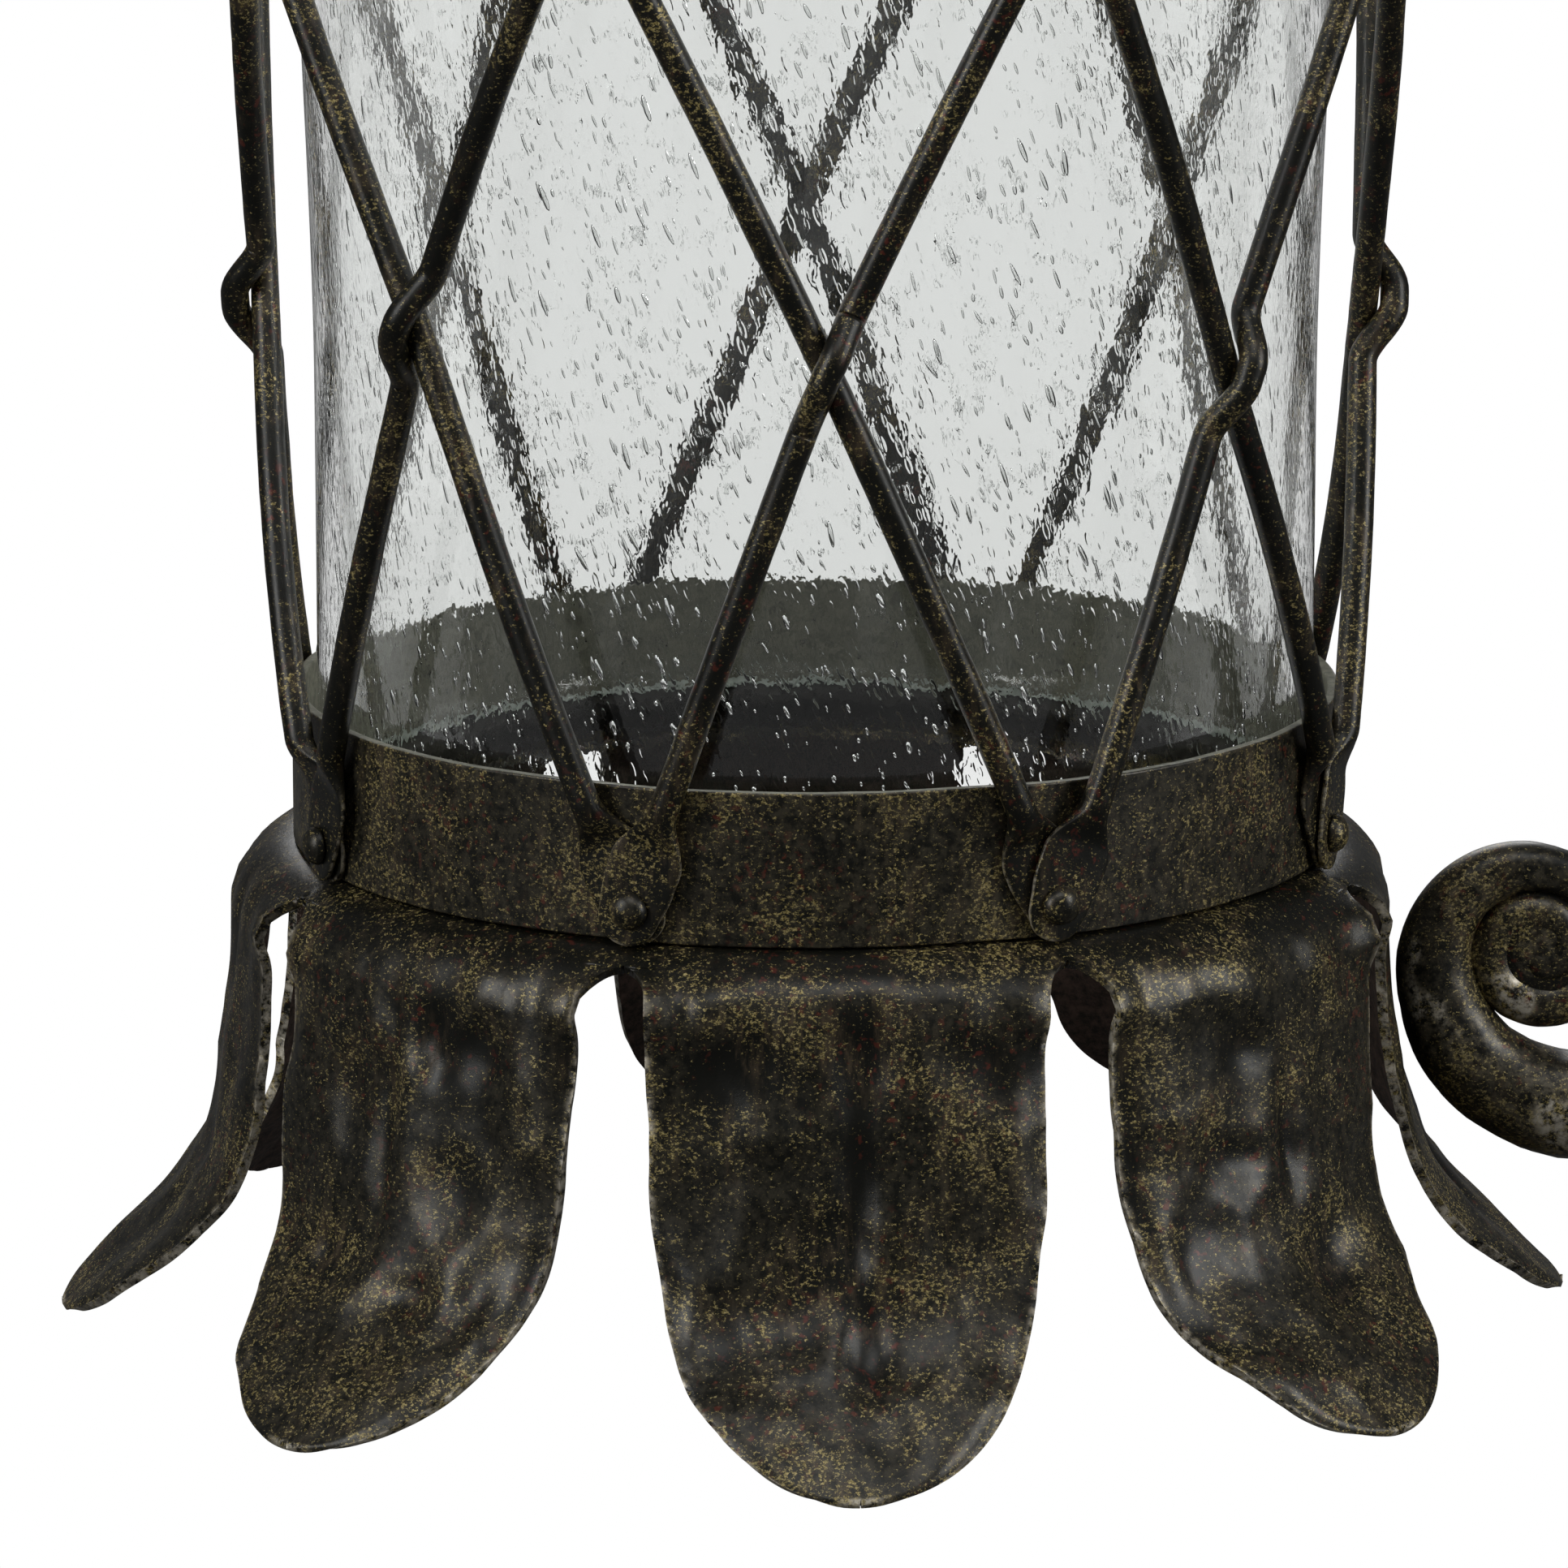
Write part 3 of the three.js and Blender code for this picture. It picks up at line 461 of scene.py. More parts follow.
def lathe(name, profile, material, segments=128, radius=0.5, steps=4, shape=None, wear_at=None, **kind):
    """A turned piece. shape(points) may move the points; wear is strongest on the rounded corners."""
    line, closed = fillet(profile, radius, steps)
    line = np.array(line)
    if wear_at:
        wear = np.array([wear_at(r, z) for r, z in line])
    else:
        a = line - np.roll(line, 1, 0)
        b = np.roll(line, -1, 0) - line
        lengths = np.linalg.norm(a, axis=1) * np.linalg.norm(b, axis=1)
        turn = np.abs(a[:, 0] * b[:, 1] - a[:, 1] * b[:, 0]) / np.maximum(lengths, 1e-9)
        wear = np.clip(turn * 2.2, 0, 1)
    rings = polar(round_angles(segments)[None, :], line[:, 0:1], line[:, 1:2])
    wear = np.repeat(wear[:, None], segments, 1)
    if shape:
        rings = shape(rings)
    if closed:
        points = rings
        faces = grid_faces(len(line), segments, wrap=True, loop=True)
    else:
        points, faces = capped(rings[1:-1], rings[0].mean(0), rings[-1].mean(0))
        wear = np.r_[wear[1:-1].ravel(), 0, 0]
    made = piece(name, points, faces, material, wear=wear, **kind)
    outward(made)
    weigh_normals(made)
    return made


def inside_faces(made, material, radius):
    """Gives the faces nearer the torch axis than radius a material of their own."""
    made.data.materials.append(material)
    for face in made.data.polygons:
        away = math.hypot(face.center.x - ORIGIN[0], face.center.y - ORIGIN[1])
        face.material_index = int(away < radius * MM)


def outward(made):
    """Turns a closed mesh's faces outwards."""
    with edited(made) as work:
        bmesh.ops.recalc_face_normals(work, faces=work.faces)
        if work.calc_volume(signed=True) < 0:
            bmesh.ops.reverse_faces(work, faces=work.faces)


def weigh_normals(made):
    modifier = made.modifiers.new("weighted_normals", "WEIGHTED_NORMAL")
    modifier.mode = "FACE_AREA"
    modifier.weight = 60


def bevelled(made, width, segments, angle=30):
    """Rounds the edges that are sharper than angle."""
    edges = made.modifiers.new("edges", "BEVEL")
    edges.width = width * MM
    edges.segments = segments
    edges.limit_method = "ANGLE"
    edges.angle_limit = math.radians(angle)


def sweep_points(centre, out, half_w, half_t, sides, power=2.0):
    """Rings of points along a centre line. power 2 gives an ellipse, and more gives a squarer section."""
    along = np.gradient(centre, axis=0)
    along /= np.linalg.norm(along, axis=1, keepdims=True)
    side = np.cross(along, out)
    side /= np.linalg.norm(side, axis=1, keepdims=True)
    up = np.cross(side, along)
    a = round_angles(sides)
    e = 2 / np.broadcast_to(np.asarray(power, float), (len(centre),))[:, None]
    x = np.sign(np.cos(a)) * np.abs(np.cos(a)) ** e * np.asarray(half_w)[:, None]
    y = np.sign(np.sin(a)) * np.abs(np.sin(a)) ** e * np.asarray(half_t)[:, None]
    return centre[:, None, :] + side[:, None, :] * x[:, :, None] + up[:, None, :] * y[:, :, None]


def swept(name, rings, wear, **kind):
    """A closed iron bar from rings of points, with its ends drawn to a point in the middle."""
    points, faces = capped(rings, rings[0].mean(0), rings[-1].mean(0))
    outward(piece(name, points, faces, IRON, wear=np.r_[wear.ravel(), 0, 0], **kind))


def plate_from_outline(name, outline, holes, thickness, bevel, at, upright=False, **kind):
    """A flat iron plate with bevelled edges, its middle at the given point, lying or against the wall."""
    curve = bpy.data.curves.new(name, "CURVE")
    curve.dimensions = "2D"
    curve.fill_mode = "BOTH"
    curve.extrude = (thickness / 2 - bevel) * MM
    curve.bevel_depth = bevel * MM
    curve.bevel_resolution = 2
    curve.offset = -bevel * MM
    for loop in [outline, *holes]:
        spline = curve.splines.new("POLY")
        spline.points.add(len(loop) - 1)
        spline.points.foreach_set("co", np.array([[x * MM, y * MM, 0, 1] for x, y in loop]).ravel())
        spline.use_cyclic_u = True
    source = add_object(name + "_outline", curve)
    bpy.context.view_layer.update()
    flat = bpy.data.meshes.new_from_object(source.evaluated_get(bpy.context.evaluated_depsgraph_get()))
    points = np.array([vertex.co for vertex in flat.vertices]) / MM
    faces = [tuple(p.vertices) for p in flat.polygons]
    bpy.data.objects.remove(source)
    bpy.data.meshes.remove(flat)
    wear = np.where(np.abs(points[:, 2]) > thickness / 2 - 0.02, 0.0, 0.9)
    made = piece(name, np.roll(points, int(upright), axis=1) + at, faces, IRON, wear=wear, **kind)
    with edited(made) as work:
        bmesh.ops.remove_doubles(work, verts=work.verts, dist=1e-6)
    outward(made)
    weigh_normals(made)


def arc(cx, cy, r, start, end, count):
    """Points on an arc, angles in degrees."""
    a = np.radians(np.linspace(start, end, count))
    return [(cx + r * math.cos(t), cy + r * math.sin(t)) for t in a]


def circle(cx, cy, r, count=48):
    return arc(cx, cy, r, 0, 360 - 360 / count, count)


def above(base, *points):
    """Profile points (r, z) with their heights counted from base."""
    return [(r, base + z) for r, z in points]


def round_head(r, h, foot):
    """Profile of a round rivet head, without its point on the axis."""
    return [(r * math.cos(a), foot + h * math.sin(a)) for a in np.radians([0, 12, 25, 38, 52, 66, 79])]


# ---- camera, light and floor
def camera():
    """Long lens, looking down at the petals and the lower half of the cage from in front."""
    distance = 2219
    height = 508
    aside = -6.9
    pitch = 12.66
    data = bpy.data.cameras.new("camera")
    data.sensor_width = 36
    data.lens = 234.9
    data.clip_end = 100
    made = add_object("camera", data)
    made.location = Vector(ORIGIN + np.array([aside, -distance, height]) * MM)
    made.rotation_euler = (math.radians(90 - pitch), 0, 0)
    bpy.context.scene.camera = made


def soft_box(name, azimuth, elevation, away, size, power):
    """A lamp aimed at the cage. Angles in degrees, the rest in metres and watts."""
    light = bpy.data.lights.new("soft_box_" + name, "AREA")
    light.shape = "RECTANGLE"
    light.size, light.size_y = size
    light.energy = power
    lamp = add_object(light.name, light)
    a = math.radians(azimuth)
    e = math.radians(elevation)
    direction = Vector((math.sin(a) * math.cos(e), -math.cos(a) * math.cos(e), math.sin(e)))
    lamp.location = Vector(ORIGIN) + Vector((0, 0, 0.1)) + direction * away
    lamp.rotation_euler = direction.to_track_quat("Z", "Y").to_euler()


def pale(tree, shader, place, lighting):
    """White where it is looked at, straight or through glass, and dimmer in reflections and as a light.

    Seen through glass after a mirror bounce, only its front half is dimmed.
    """
    n = Nodes(tree)
    path = n.add("LightPath").outputs
    looked_at = n.maths("MAXIMUM", path["Is Camera Ray"], path["Is Transmission Ray"])
    looked_at = n.times(looked_at, n.maths("LESS_THAN", path["Diffuse Depth"], 0.5))
    mirrored = n.maths("GREATER_THAN", path["Glossy Depth"], 0.5)
    where = n.add("TexCoord").outputs[place]
    y = n.add("SeparateXYZ", {"Vector": where}).outputs["Y"]
    mirrored = n.times(mirrored, n.maths("LESS_THAN", y, 0.0))
    looked_at = n.times(looked_at, n.maths("SUBTRACT", 1.0, n.times(mirrored, 0.7)))
    n.put(shader.inputs["Strength"], n.plus(lighting, looked_at, 1.0 - lighting))


def stage():
    """White surroundings, four soft lamps and a pale floor well below the torch."""
    soft_box("left", -54, 24, 2.4, (0.8, 1.4), 29)
    soft_box("right", 68, 20, 2.4, (0.7, 1.4), 30)
    soft_box("top", 8, 60, 2.6, (1.6, 0.9), 17)
    soft_box("back", 180, 30, 3.0, (1.5, 1.5), 36)
    world = bpy.data.worlds.new("studio")
    bpy.context.scene.world = world
    world.use_nodes = True
    background = world.node_tree.nodes["Background"]
    background.inputs["Color"].default_value = (1, 1, 1, 1)
    pale(world.node_tree, background, "Generated", 0.085)

    material = bpy.data.materials.new("pale_floor")
    material.use_nodes = True
    tree = material.node_tree
    tree.nodes.clear()
    n = Nodes(tree)
    glow = n.add("Emission", {"Color": (1, 1, 1)})
    n.add("OutputMaterial", {"Surface": glow.outputs[0]})
    pale(tree, glow, "Object", 0.10)
    half = 30
    drop = 1.2
    corners = [(-half, -half, 0), (half, -half, 0), (half, half, 0), (-half, half, 0)]
    mesh = bpy.data.meshes.new("floor")
    mesh.from_pydata(corners, [], [(0, 1, 2, 3)])
    mesh.materials.append(material)
    floor = add_object("floor", mesh)
    floor.location = (0, 0, cad_box[0].z - drop)
    view = bpy.context.scene.view_settings
    view.view_transform = "Standard"
    view.look = "None"


# ---- cage
def cage_radius(z):
    return BAND_R + ROD_STANDOFF + FLARE * smooth(z, FLARE_FROM, FLARE_TO)


def row_heights(first_crossing):
    rows = [RIVET_INSET, FIRST_ROW_UP, FIRST_ROW_UP + ROW_STEP, FIRST_ROW_UP + 2 * ROW_STEP]
    rows.append(rows[3] + rows[1] - rows[0])
    rows[1] += HAND_SET[first_crossing]
    return rows


def bar(k, direction, over):
    """A round bar with flattened, riveted ends. An over bar steps outwards across each under bar."""
    rows = row_heights((k + 1) % PETALS if direction > 0 else k)
    high = rows[4] + RIVET_INSET
    shrink = math.cos(math.atan(BAND_R * PITCH / 2 / (rows[1] - rows[0])))
    layer = GAP + PADDLE_T if over else 0.0
    ends = np.r_[np.geomspace(0.02, 7, 16), np.arange(8, 40, 0.8)] * shrink
    marks = [ends, high - ends, np.arange(40, high - 40, 4.0)]
    marks += [np.arange(r - 15, r + 15.1, 0.9) for r in rows[1:4]]
    z = np.unique(np.round(np.concatenate(marks), 2))
    z = z[np.r_[True, np.diff(z) > 0.015]]
    from_end = np.minimum(z, high - z) / shrink
    row = np.interp(z, rows, range(5)) + np.minimum(0, (z - rows[0]) / (rows[1] - rows[0]))
    row += np.maximum(0, (z - rows[4]) / (rows[4] - rows[3]))
    angle = TURN + (k + 0.5) * PITCH + FOOT_TURN * np.maximum(0, 1 - row) + direction * PITCH * row / 2
    face = np.where(z < FIRST_ROW_UP, BAND_R, TOP_R)
    on_band = face + GAP + PADDLE_T / 2 + layer
    step = sum(1 - smooth(np.abs(z - r), 1.5, 13.5) for r in rows[1:4]) if over else 0.0
    flat = 1 - smooth(from_end, PADDLE_L - 10, PADDLE_L)
    r = mix(cage_radius(z), on_band, flat) + step * (ROD_D + GAP)
    centre = polar(angle, r, z)
    out = polar(angle, 1.0, 0.0)
    tip = np.sqrt(np.clip(1 - (1 - np.minimum(1, from_end / 6.6)) ** 2, 1e-4, 1))
    leaf = 6.6 + 1.5 * smooth(from_end, 4, 15)
    wide = 1 - smooth(from_end, 19, PADDLE_L - 1)
    wobble = 1 + 0.02 * layered_noise(xyz(z, k * 31, direction * 9), 22, 3)
    half_w = mix(ROD_D / 2, leaf, wide) * tip * wobble
    half_t = mix(ROD_D / 2, PADDLE_T / 2, flat) * np.minimum(1, 0.55 + tip) * wobble
    sides = 24
    rings = sweep_points(centre, out, half_w, half_t, sides, mix(2.0, 5.0, flat))
    relief = layered_noise(rings, 4.5, k) * 0.07 + value_noise(rings, 17, 40 + k) * 0.06
    rings += (rings - centre[:, None]) * relief[..., None] * 0.35
    section = np.abs(np.cos(round_angles(sides)))
    wear = flat[:, None] * wide[:, None] * smooth(section, 0.90, 1.0)[None, :] * 0.9
    wear = np.maximum(wear, (1 - smooth(from_end, 0.2, 1.2))[:, None] * 0.9)
    kind = "over" if over else "under"
    swept(f"forged_bar_{kind}_{k + 1}", rings, wear, replaces=[f"bar_{kind}_{k + 1}"])


def rivet(name, node_name, angle, z, face):
    """A round-headed rivet, a little out of true."""
    head = face + 2 * (GAP + PADDLE_T) + GAP
    r = 4.25
    h = 3.3
    shank = 2.4
    foot = face - BAND_T + 0.1
    profile = [(0, foot), (shank, foot), (shank, head), (r - 0.5, head)]
    profile += [*round_head(r, h, head), (0, head + h)]
    seed = int(abs(z)) + int(math.degrees(angle) * 7)

    def lay(rings):
        relief = value_noise(rings, 3.2, seed)
        rings[..., :2] *= (1 + 0.035 * relief)[..., None]
        return radially(angle, rings[..., 0], rings[..., 1], rings[..., 2] + relief * 0.12, z)

    lathe(name, profile, IRON, 32, 0.35, 2, lay, lambda away, out: 0.12 * (out > head + 1.5),
          replaces=[node_name])


def band(name, node_name, face, foot):
    """A rolled sheet band with a slightly uneven, worn rim."""
    inner = face - BAND_T
    steps = np.linspace(0, BAND_H, 9)[1:-1]
    profile = [(inner, foot), (face, foot), *[(face, foot + s) for s in steps], (face, foot + BAND_H),
               (inner, foot + BAND_H), *[(inner, foot + s) for s in steps[::-1]]]

    def uneven(rings):
        shift = layered_noise(rings * [1, 1, 0.02], 30, 5)
        dent = layered_noise(rings, 24, 9)
        radius = np.linalg.norm(rings[..., :2], axis=-1, keepdims=True)
        rings[..., :2] *= 1 + (0.10 * dent[..., None] - 0.08) / radius
        rings[..., 2] += 0.35 * shift * (np.abs(rings[..., 2] - foot - BAND_H / 2) / (BAND_H / 2))
        return rings

    def worn(r, z):
        return 0.3 if min(abs(z - foot), abs(z - foot - BAND_H)) < 0.4 else 0.2

    made = lathe(name, profile, IRON, 320, 0.55, 4, uneven, worn, replaces=[node_name])
    # Painted light: the inner face is coloured much lighter than the outside, for the light that reaches it
    # through the glass.
    inside_faces(made, BAND_INSIDE_PAINTED_LIGHT, face - 0.5)


def cage():
    """Sixteen bars, their rivets and the two bands."""
    for k in range(PETALS):
        bar(k, -1, False)
        bar(k, 1, True)
        angle = TURN + (k + 0.5) * PITCH
        rivet(f"rivet_low_{k + 1}", f"lower_rivet_{k + 1}", angle + FOOT_TURN, RIVET_INSET, BAND_R)
        rivet(f"rivet_high_{k + 1}", f"upper_rivet_{k + 1}", angle, TOP_EDGE - RIVET_INSET, TOP_R)
    band("band_low", "lower_band", BAND_R, 0)
    band("band_high", "top_band", TOP_R, TOP_FOOT)


# ---- petal skirt
def petal_line():
    """The petals' fall, from the skirt's inner edge to their tips, as even steps of radius and height."""
    flat = -GAP - SKIRT_T / 2
    fall = [(11.7, 0.11), (13, 0.2), (14.3, 0.36), (16.8, 0.54), (21, 0.68), (30, 0.8), (41.5, 0.9),
            (51.5, 1)]
    points = [(SKIRT_INNER_R, flat), (BAND_R - 1, flat - 0.2), (BAND_R + 7, flat - 3.6)]
    return catmull_rom(points + [(BAND_R + out, -PETAL_DROP * share) for out, share in fall], 600)


def dents(k, length):
    """A petal's known dents and random ones: fewer and shallower where some are known."""
    known = DENTS.get(k, [])
    count, least, most = (6, 0.4, 1.0) if known else (12, 0.7, 1.8)
    loose = [(rng.uniform(-30, 30), rng.uniform(34, length - 12), rng.uniform(4, 9), rng.uniform(5, 13),
              rng.uniform(least, most)) for _ in range(count)]
    return known + loose


def hammered(k, x, s, to_side, free, length):
    """How far a petal is beaten inwards at x across and s down the sheet: a long hollow each side of a rib,
    flat-bottomed dents, pleats under the band and a rolled edge."""
    calm = 0.6 if k in (2, 6) else 1.0
    down = smooth(s, 30, 48) * (1 - 0.6 * smooth(s, 92, 118))
    rib = rng.uniform(-5, 5)
    hollow = np.exp(-((x - rib - 12) / 7) ** 2) + np.exp(-((x - rib + 11) / 8) ** 2)
    depth = rng.uniform(1.0, 1.6) * (0.35 if k in DENTS else 1.0) * hollow * down
    for dx, ds, wide, tall, deep in dents(k, length):
        depth += 1.1 * deep * np.exp(-((((x - dx) / wide) ** 2 + ((s - ds) / tall) ** 2) ** 1.5))
    # Overlapping round blows leave ridges where they meet.
    blows = np.full(s.shape, -2.0)
    for _ in range(30):
        dx, ds, hard = rng.uniform(-44, 44), rng.uniform(18, length + 4), rng.uniform(-0.7, 0.7)
        blows = np.maximum(blows, hard - ((x - dx) ** 2 + 0.6 * (s - ds) ** 2) / 75)
    depth += 0.75 * free * blows
    field = xyz(x + k * 200, s, 0)
    depth += free * 0.5 * layered_noise(field, 15, 21)
    depth += 0.9 * free * value_noise(xyz(x + k * 90, s * 0.25, 0), 6, 4) * (1 - smooth(s, 30, 46))
    depth += free * 2.4 * smooth(to_side, 0.80, 1.0) ** 1.5 * (0.5 + 0.6 * value_noise(field, 22, 8))
    # The shoulder's corners are pinched up where the sheet was folded over.
    depth -= 3.2 * np.exp(-((s - SKIRT_RING_W - 10) / 5) ** 2) * smooth(to_side, 0.8, 0.98)
    if k == 2:
        # The scroll is pressed in here.
        beaten_in = np.exp(-((((x + 7) / 26) ** 2 + ((s - 48) / 30) ** 2) ** 2))
        depth = mix(depth, (SCROLL_TUCK - 0.3) / calm, beaten_in)
    return depth * calm * (1 - 0.6 * smooth(s, length - 22, length))


def petal_skirt():
    """One hammered sheet: a flat ring under the band and eight petals that fall and flare."""
    line, length = petal_line()
    at = np.linspace(0, length, len(line))
    slope = np.gradient(line, at, axis=0)
    shoulder = SKIRT_RING_W + np.geomspace(0.02, 11, 16)
    tip = length - 14 * (1 - np.sin(np.linspace(0, math.pi / 2, 22)))
    fall = np.arange(SKIRT_RING_W + 12, length - 14, 1.35)
    marks = np.unique(np.round(np.r_[np.arange(0, SKIRT_RING_W, 1.9), shoulder, fall, tip], 3))[:, None]
    side = np.linspace(-1, 1, 45)[None, :]
    s = marks + 0 * side
    r_mid = np.interp(marks, at, line[:, 0])
    t = np.clip((marks - SKIRT_RING_W) / (length - SKIRT_RING_W), 0, 0.999999)
    past = np.clip((marks - SKIRT_RING_W) / 9.5, 0, 1)
    free = smooth(marks, SKIRT_RING_W, SKIRT_RING_W + 9)
    to_side = np.abs(side)
    r0 = np.interp(s, at, line[:, 0])
    z0 = np.interp(s, at, line[:, 1])
    nr = -np.interp(s, at, slope[:, 1])
    nz = np.interp(s, at, slope[:, 0])
    points, wear, faces = [], [], []
    for k in range(PETALS):
        own = (PETAL_HALF_W + rng.uniform(-0.8, 0.8)) * (1 - t**4.2) ** 0.49
        notch = (PITCH / 2 * r_mid - own) * np.sqrt(np.clip(1 - (1 - past) ** 2, 0, 1))
        half = (PITCH / 2 * r_mid - notch) / r_mid
        ragged = mix(1, 1 + 0.016 * value_noise(xyz(s, np.sign(side) * 40, k * 50), 14, 3), free)
        angle = TURN + FOOT_TURN + k * PITCH + side * half * ragged
        depth = hammered(k, side * half * r_mid, s, to_side, free, length)
        points.append(polar(angle, r0 - nr * depth, z0 - nz * depth))
        rim = np.maximum(smooth(to_side, 0.955, 1.0) * free, smooth(s, length - 1.4, length))
        high = smooth(-depth + 2.2, 0.8, 2.2) * 0.15 * free
        untouched = smooth(depth, 0.9, 2.4) * (1 - rim) * free
        wear.append(np.maximum(rim * 0.95, high) - untouched)
        faces += grid_faces(*s.shape, start=k * s.size)
    made = piece("petal_sheet", np.array(points), faces, IRON, replaces=["petal_skirt"], wear=np.array(wear))
    with edited(made) as work:
        bmesh.ops.remove_doubles(work, verts=work.verts, dist=4e-6)
        bmesh.ops.recalc_face_normals(work, faces=work.faces)
    made.data.materials.append(PETAL_INSIDE)
    solid = made.modifiers.new("thickness", "SOLIDIFY")
    solid.thickness = 2.2 * MM
    solid.offset = 0
    solid.use_even_offset = True
    solid.material_offset = 1
    bevelled(made, 0.75, 3, 50)


# ---- glass
def glass_radius(z):
    return GLASS_R + GLASS_FLARE * smooth(z, FLARE_FROM, FLARE_TO)


def glass_chimney():
    """Blown glass wall with slanted bubbles as cavities inside it."""
    low, high = cad_mm("glass_chimney")
    foot, top = low[2], high[2]
    rounding = 1.2
    wall_foot = foot + FOOT_RISE
    heights = np.linspace(wall_foot + rounding, top - rounding, 190)
    turn = np.linspace(0, math.pi, 9)[1:-1]
    across = GLASS_T / 2 * np.cos(turn)
    along = rounding * np.sin(turn)
    upper = glass_radius(top) - GLASS_T / 2 + across
    lower = glass_radius(foot) - GLASS_T / 2 - across
    r = np.r_[glass_radius(heights), upper, glass_radius(heights[::-1]) - GLASS_T, lower]
    z = np.r_[heights, top - rounding + along, heights[::-1], wall_foot + rounding - along]
    segments = 288
    rings = polar(round_angles(segments)[None, :], r[:, None], z[:, None])
    inside = np.arange(len(r)) >= len(heights) + len(turn)
    relief = layered_noise(rings * [1, 1, 0.6] + inside[:, None, None] * 500, 30, 61)
    radius = np.linalg.norm(rings[..., :2], axis=-1, keepdims=True)
    rings[..., :2] *= 1 + (0.10 * relief[..., None]) / radius
    uneven = 0.5 * layered_noise(rings * [1, 1, 0], 12, 5)
    rings[..., 2] += uneven * (1 - smooth(rings[..., 2], wall_foot, foot + 6))
    faces = grid_faces(len(r), segments, wrap=True, loop=True)
    made = piece("seeded_glass_chimney", rings, faces, GLASS, replaces=["glass_chimney"], slot="seeded_glass")
    outward(made)
    ground_edge(foot)
    seeds = bubbles(foot, top)
    with bpy.context.temp_override(active_object=made, selected_editable_objects=[made, seeds]):
        bpy.ops.object.join()


def bubbles(foot, top):
    """Small spheres stretched along a slanted axis, with their faces turned towards their middles."""
    count = 14000
    sides = 8
    levels = 5
    a = rng.uniform(0, 2 * math.pi, count)
    z = rng.uniform(foot + 5, top - 5, count)
    size = rng.lognormal(-0.1, 0.5, count)
    low_down = 1 - smooth(z, foot + 20, foot + 70)
    half_w = np.clip(0.29 * (1 + 0.3 * low_down) * size**0.8, 0.12, 0.75)
    stretch = mix(rng.uniform(1.6, 6.5, count), rng.uniform(1.0, 2.4, count), low_down)
    half_l = np.clip(half_w * stretch, 0.2, 3.0)
    depth = mix(half_w + 0.45, GLASS_T - half_w - 0.45, rng.uniform(0, 1, count))
    centre = polar(a, glass_radius(z) - depth, z)
    lean = ((-SEED_LEAN + rng.normal(0, 0.1, count)) * np.where(np.cos(a) < 0, -1, 1))[:, None]
    out = polar(a, 1.0, 0.0)
    tangent = xyz(np.cos(a), np.sin(a), 0)
    up = np.array([0, 0, 1.0])
    long_axis = tangent * np.sin(lean) + up * np.cos(lean)
    short_axis = tangent * np.cos(lean) - up * np.sin(lean)
    level = np.linspace(0, math.pi, levels + 1)[1:-1, None]
    turn = round_angles(sides)[None, :]
    ball = xyz(np.sin(level) * np.cos(turn), np.sin(level) * np.sin(turn), np.cos(level))
    unit, one = capped(ball, (0, 0, 1), (0, 0, -1))
    half_w, half_l = half_w[:, None], half_l[:, None]
    axes = np.stack([short_axis * half_w, out * 0.45 * half_w, long_axis * half_l], 1)
    points = centre[:, None, :] + unit @ axes
    faces = [[i + b * len(unit) for i in f] for b in range(count) for f in one]
    made = piece("bubbles", points, faces, GLASS, slot="seeded_glass")
    with edited(made) as work:
        if work.calc_volume(signed=True) > 0:
            bmesh.ops.reverse_faces(work, faces=work.faces)
    return made


def ground_edge(foot):
    """The chimney's foot, snapped off and ground: a pale uneven line."""
    inner = GLASS_R - GLASS_T
    high = foot + 0.6
    profile = [(inner + 0.4, foot), (GLASS_R - 0.4, foot), (GLASS_R - 0.2, high), (inner + 0.2, high)]

    def snapped(rings):
        lift = np.maximum(0, layered_noise(rings * [1, 1, 0], 9, 15))
        lift += 0.8 * np.maximum(0, value_noise(rings * [1, 1, 0], 3, 2))
        rings[..., 2] += lift * (rings[..., 2] > foot + 0.5)
        return rings

    lathe("chimney_foot", profile, GROUND_GLASS, 400, 0.2, 2, snapped, slot="seeded_glass")


def seat_ring():
    """Stepped ring inside the lower band that carries the glass. Its near-black colour is painted shade."""
    low, high = cad_mm("glass_seat_ring")
    r = (high[0] - low[0]) / 2
    h = high[2] - low[2]
    t = 2.3
    inner = 99
    profile = [(r - t, 0), (r, 0), (r, h), (inner, h), (inner, h - t), (r - t, h - t)]
    lathe("seat_ring", profile, SEAT_PAINTED_SHADE, 256, 0.5, 3, replaces=["glass_seat_ring"])


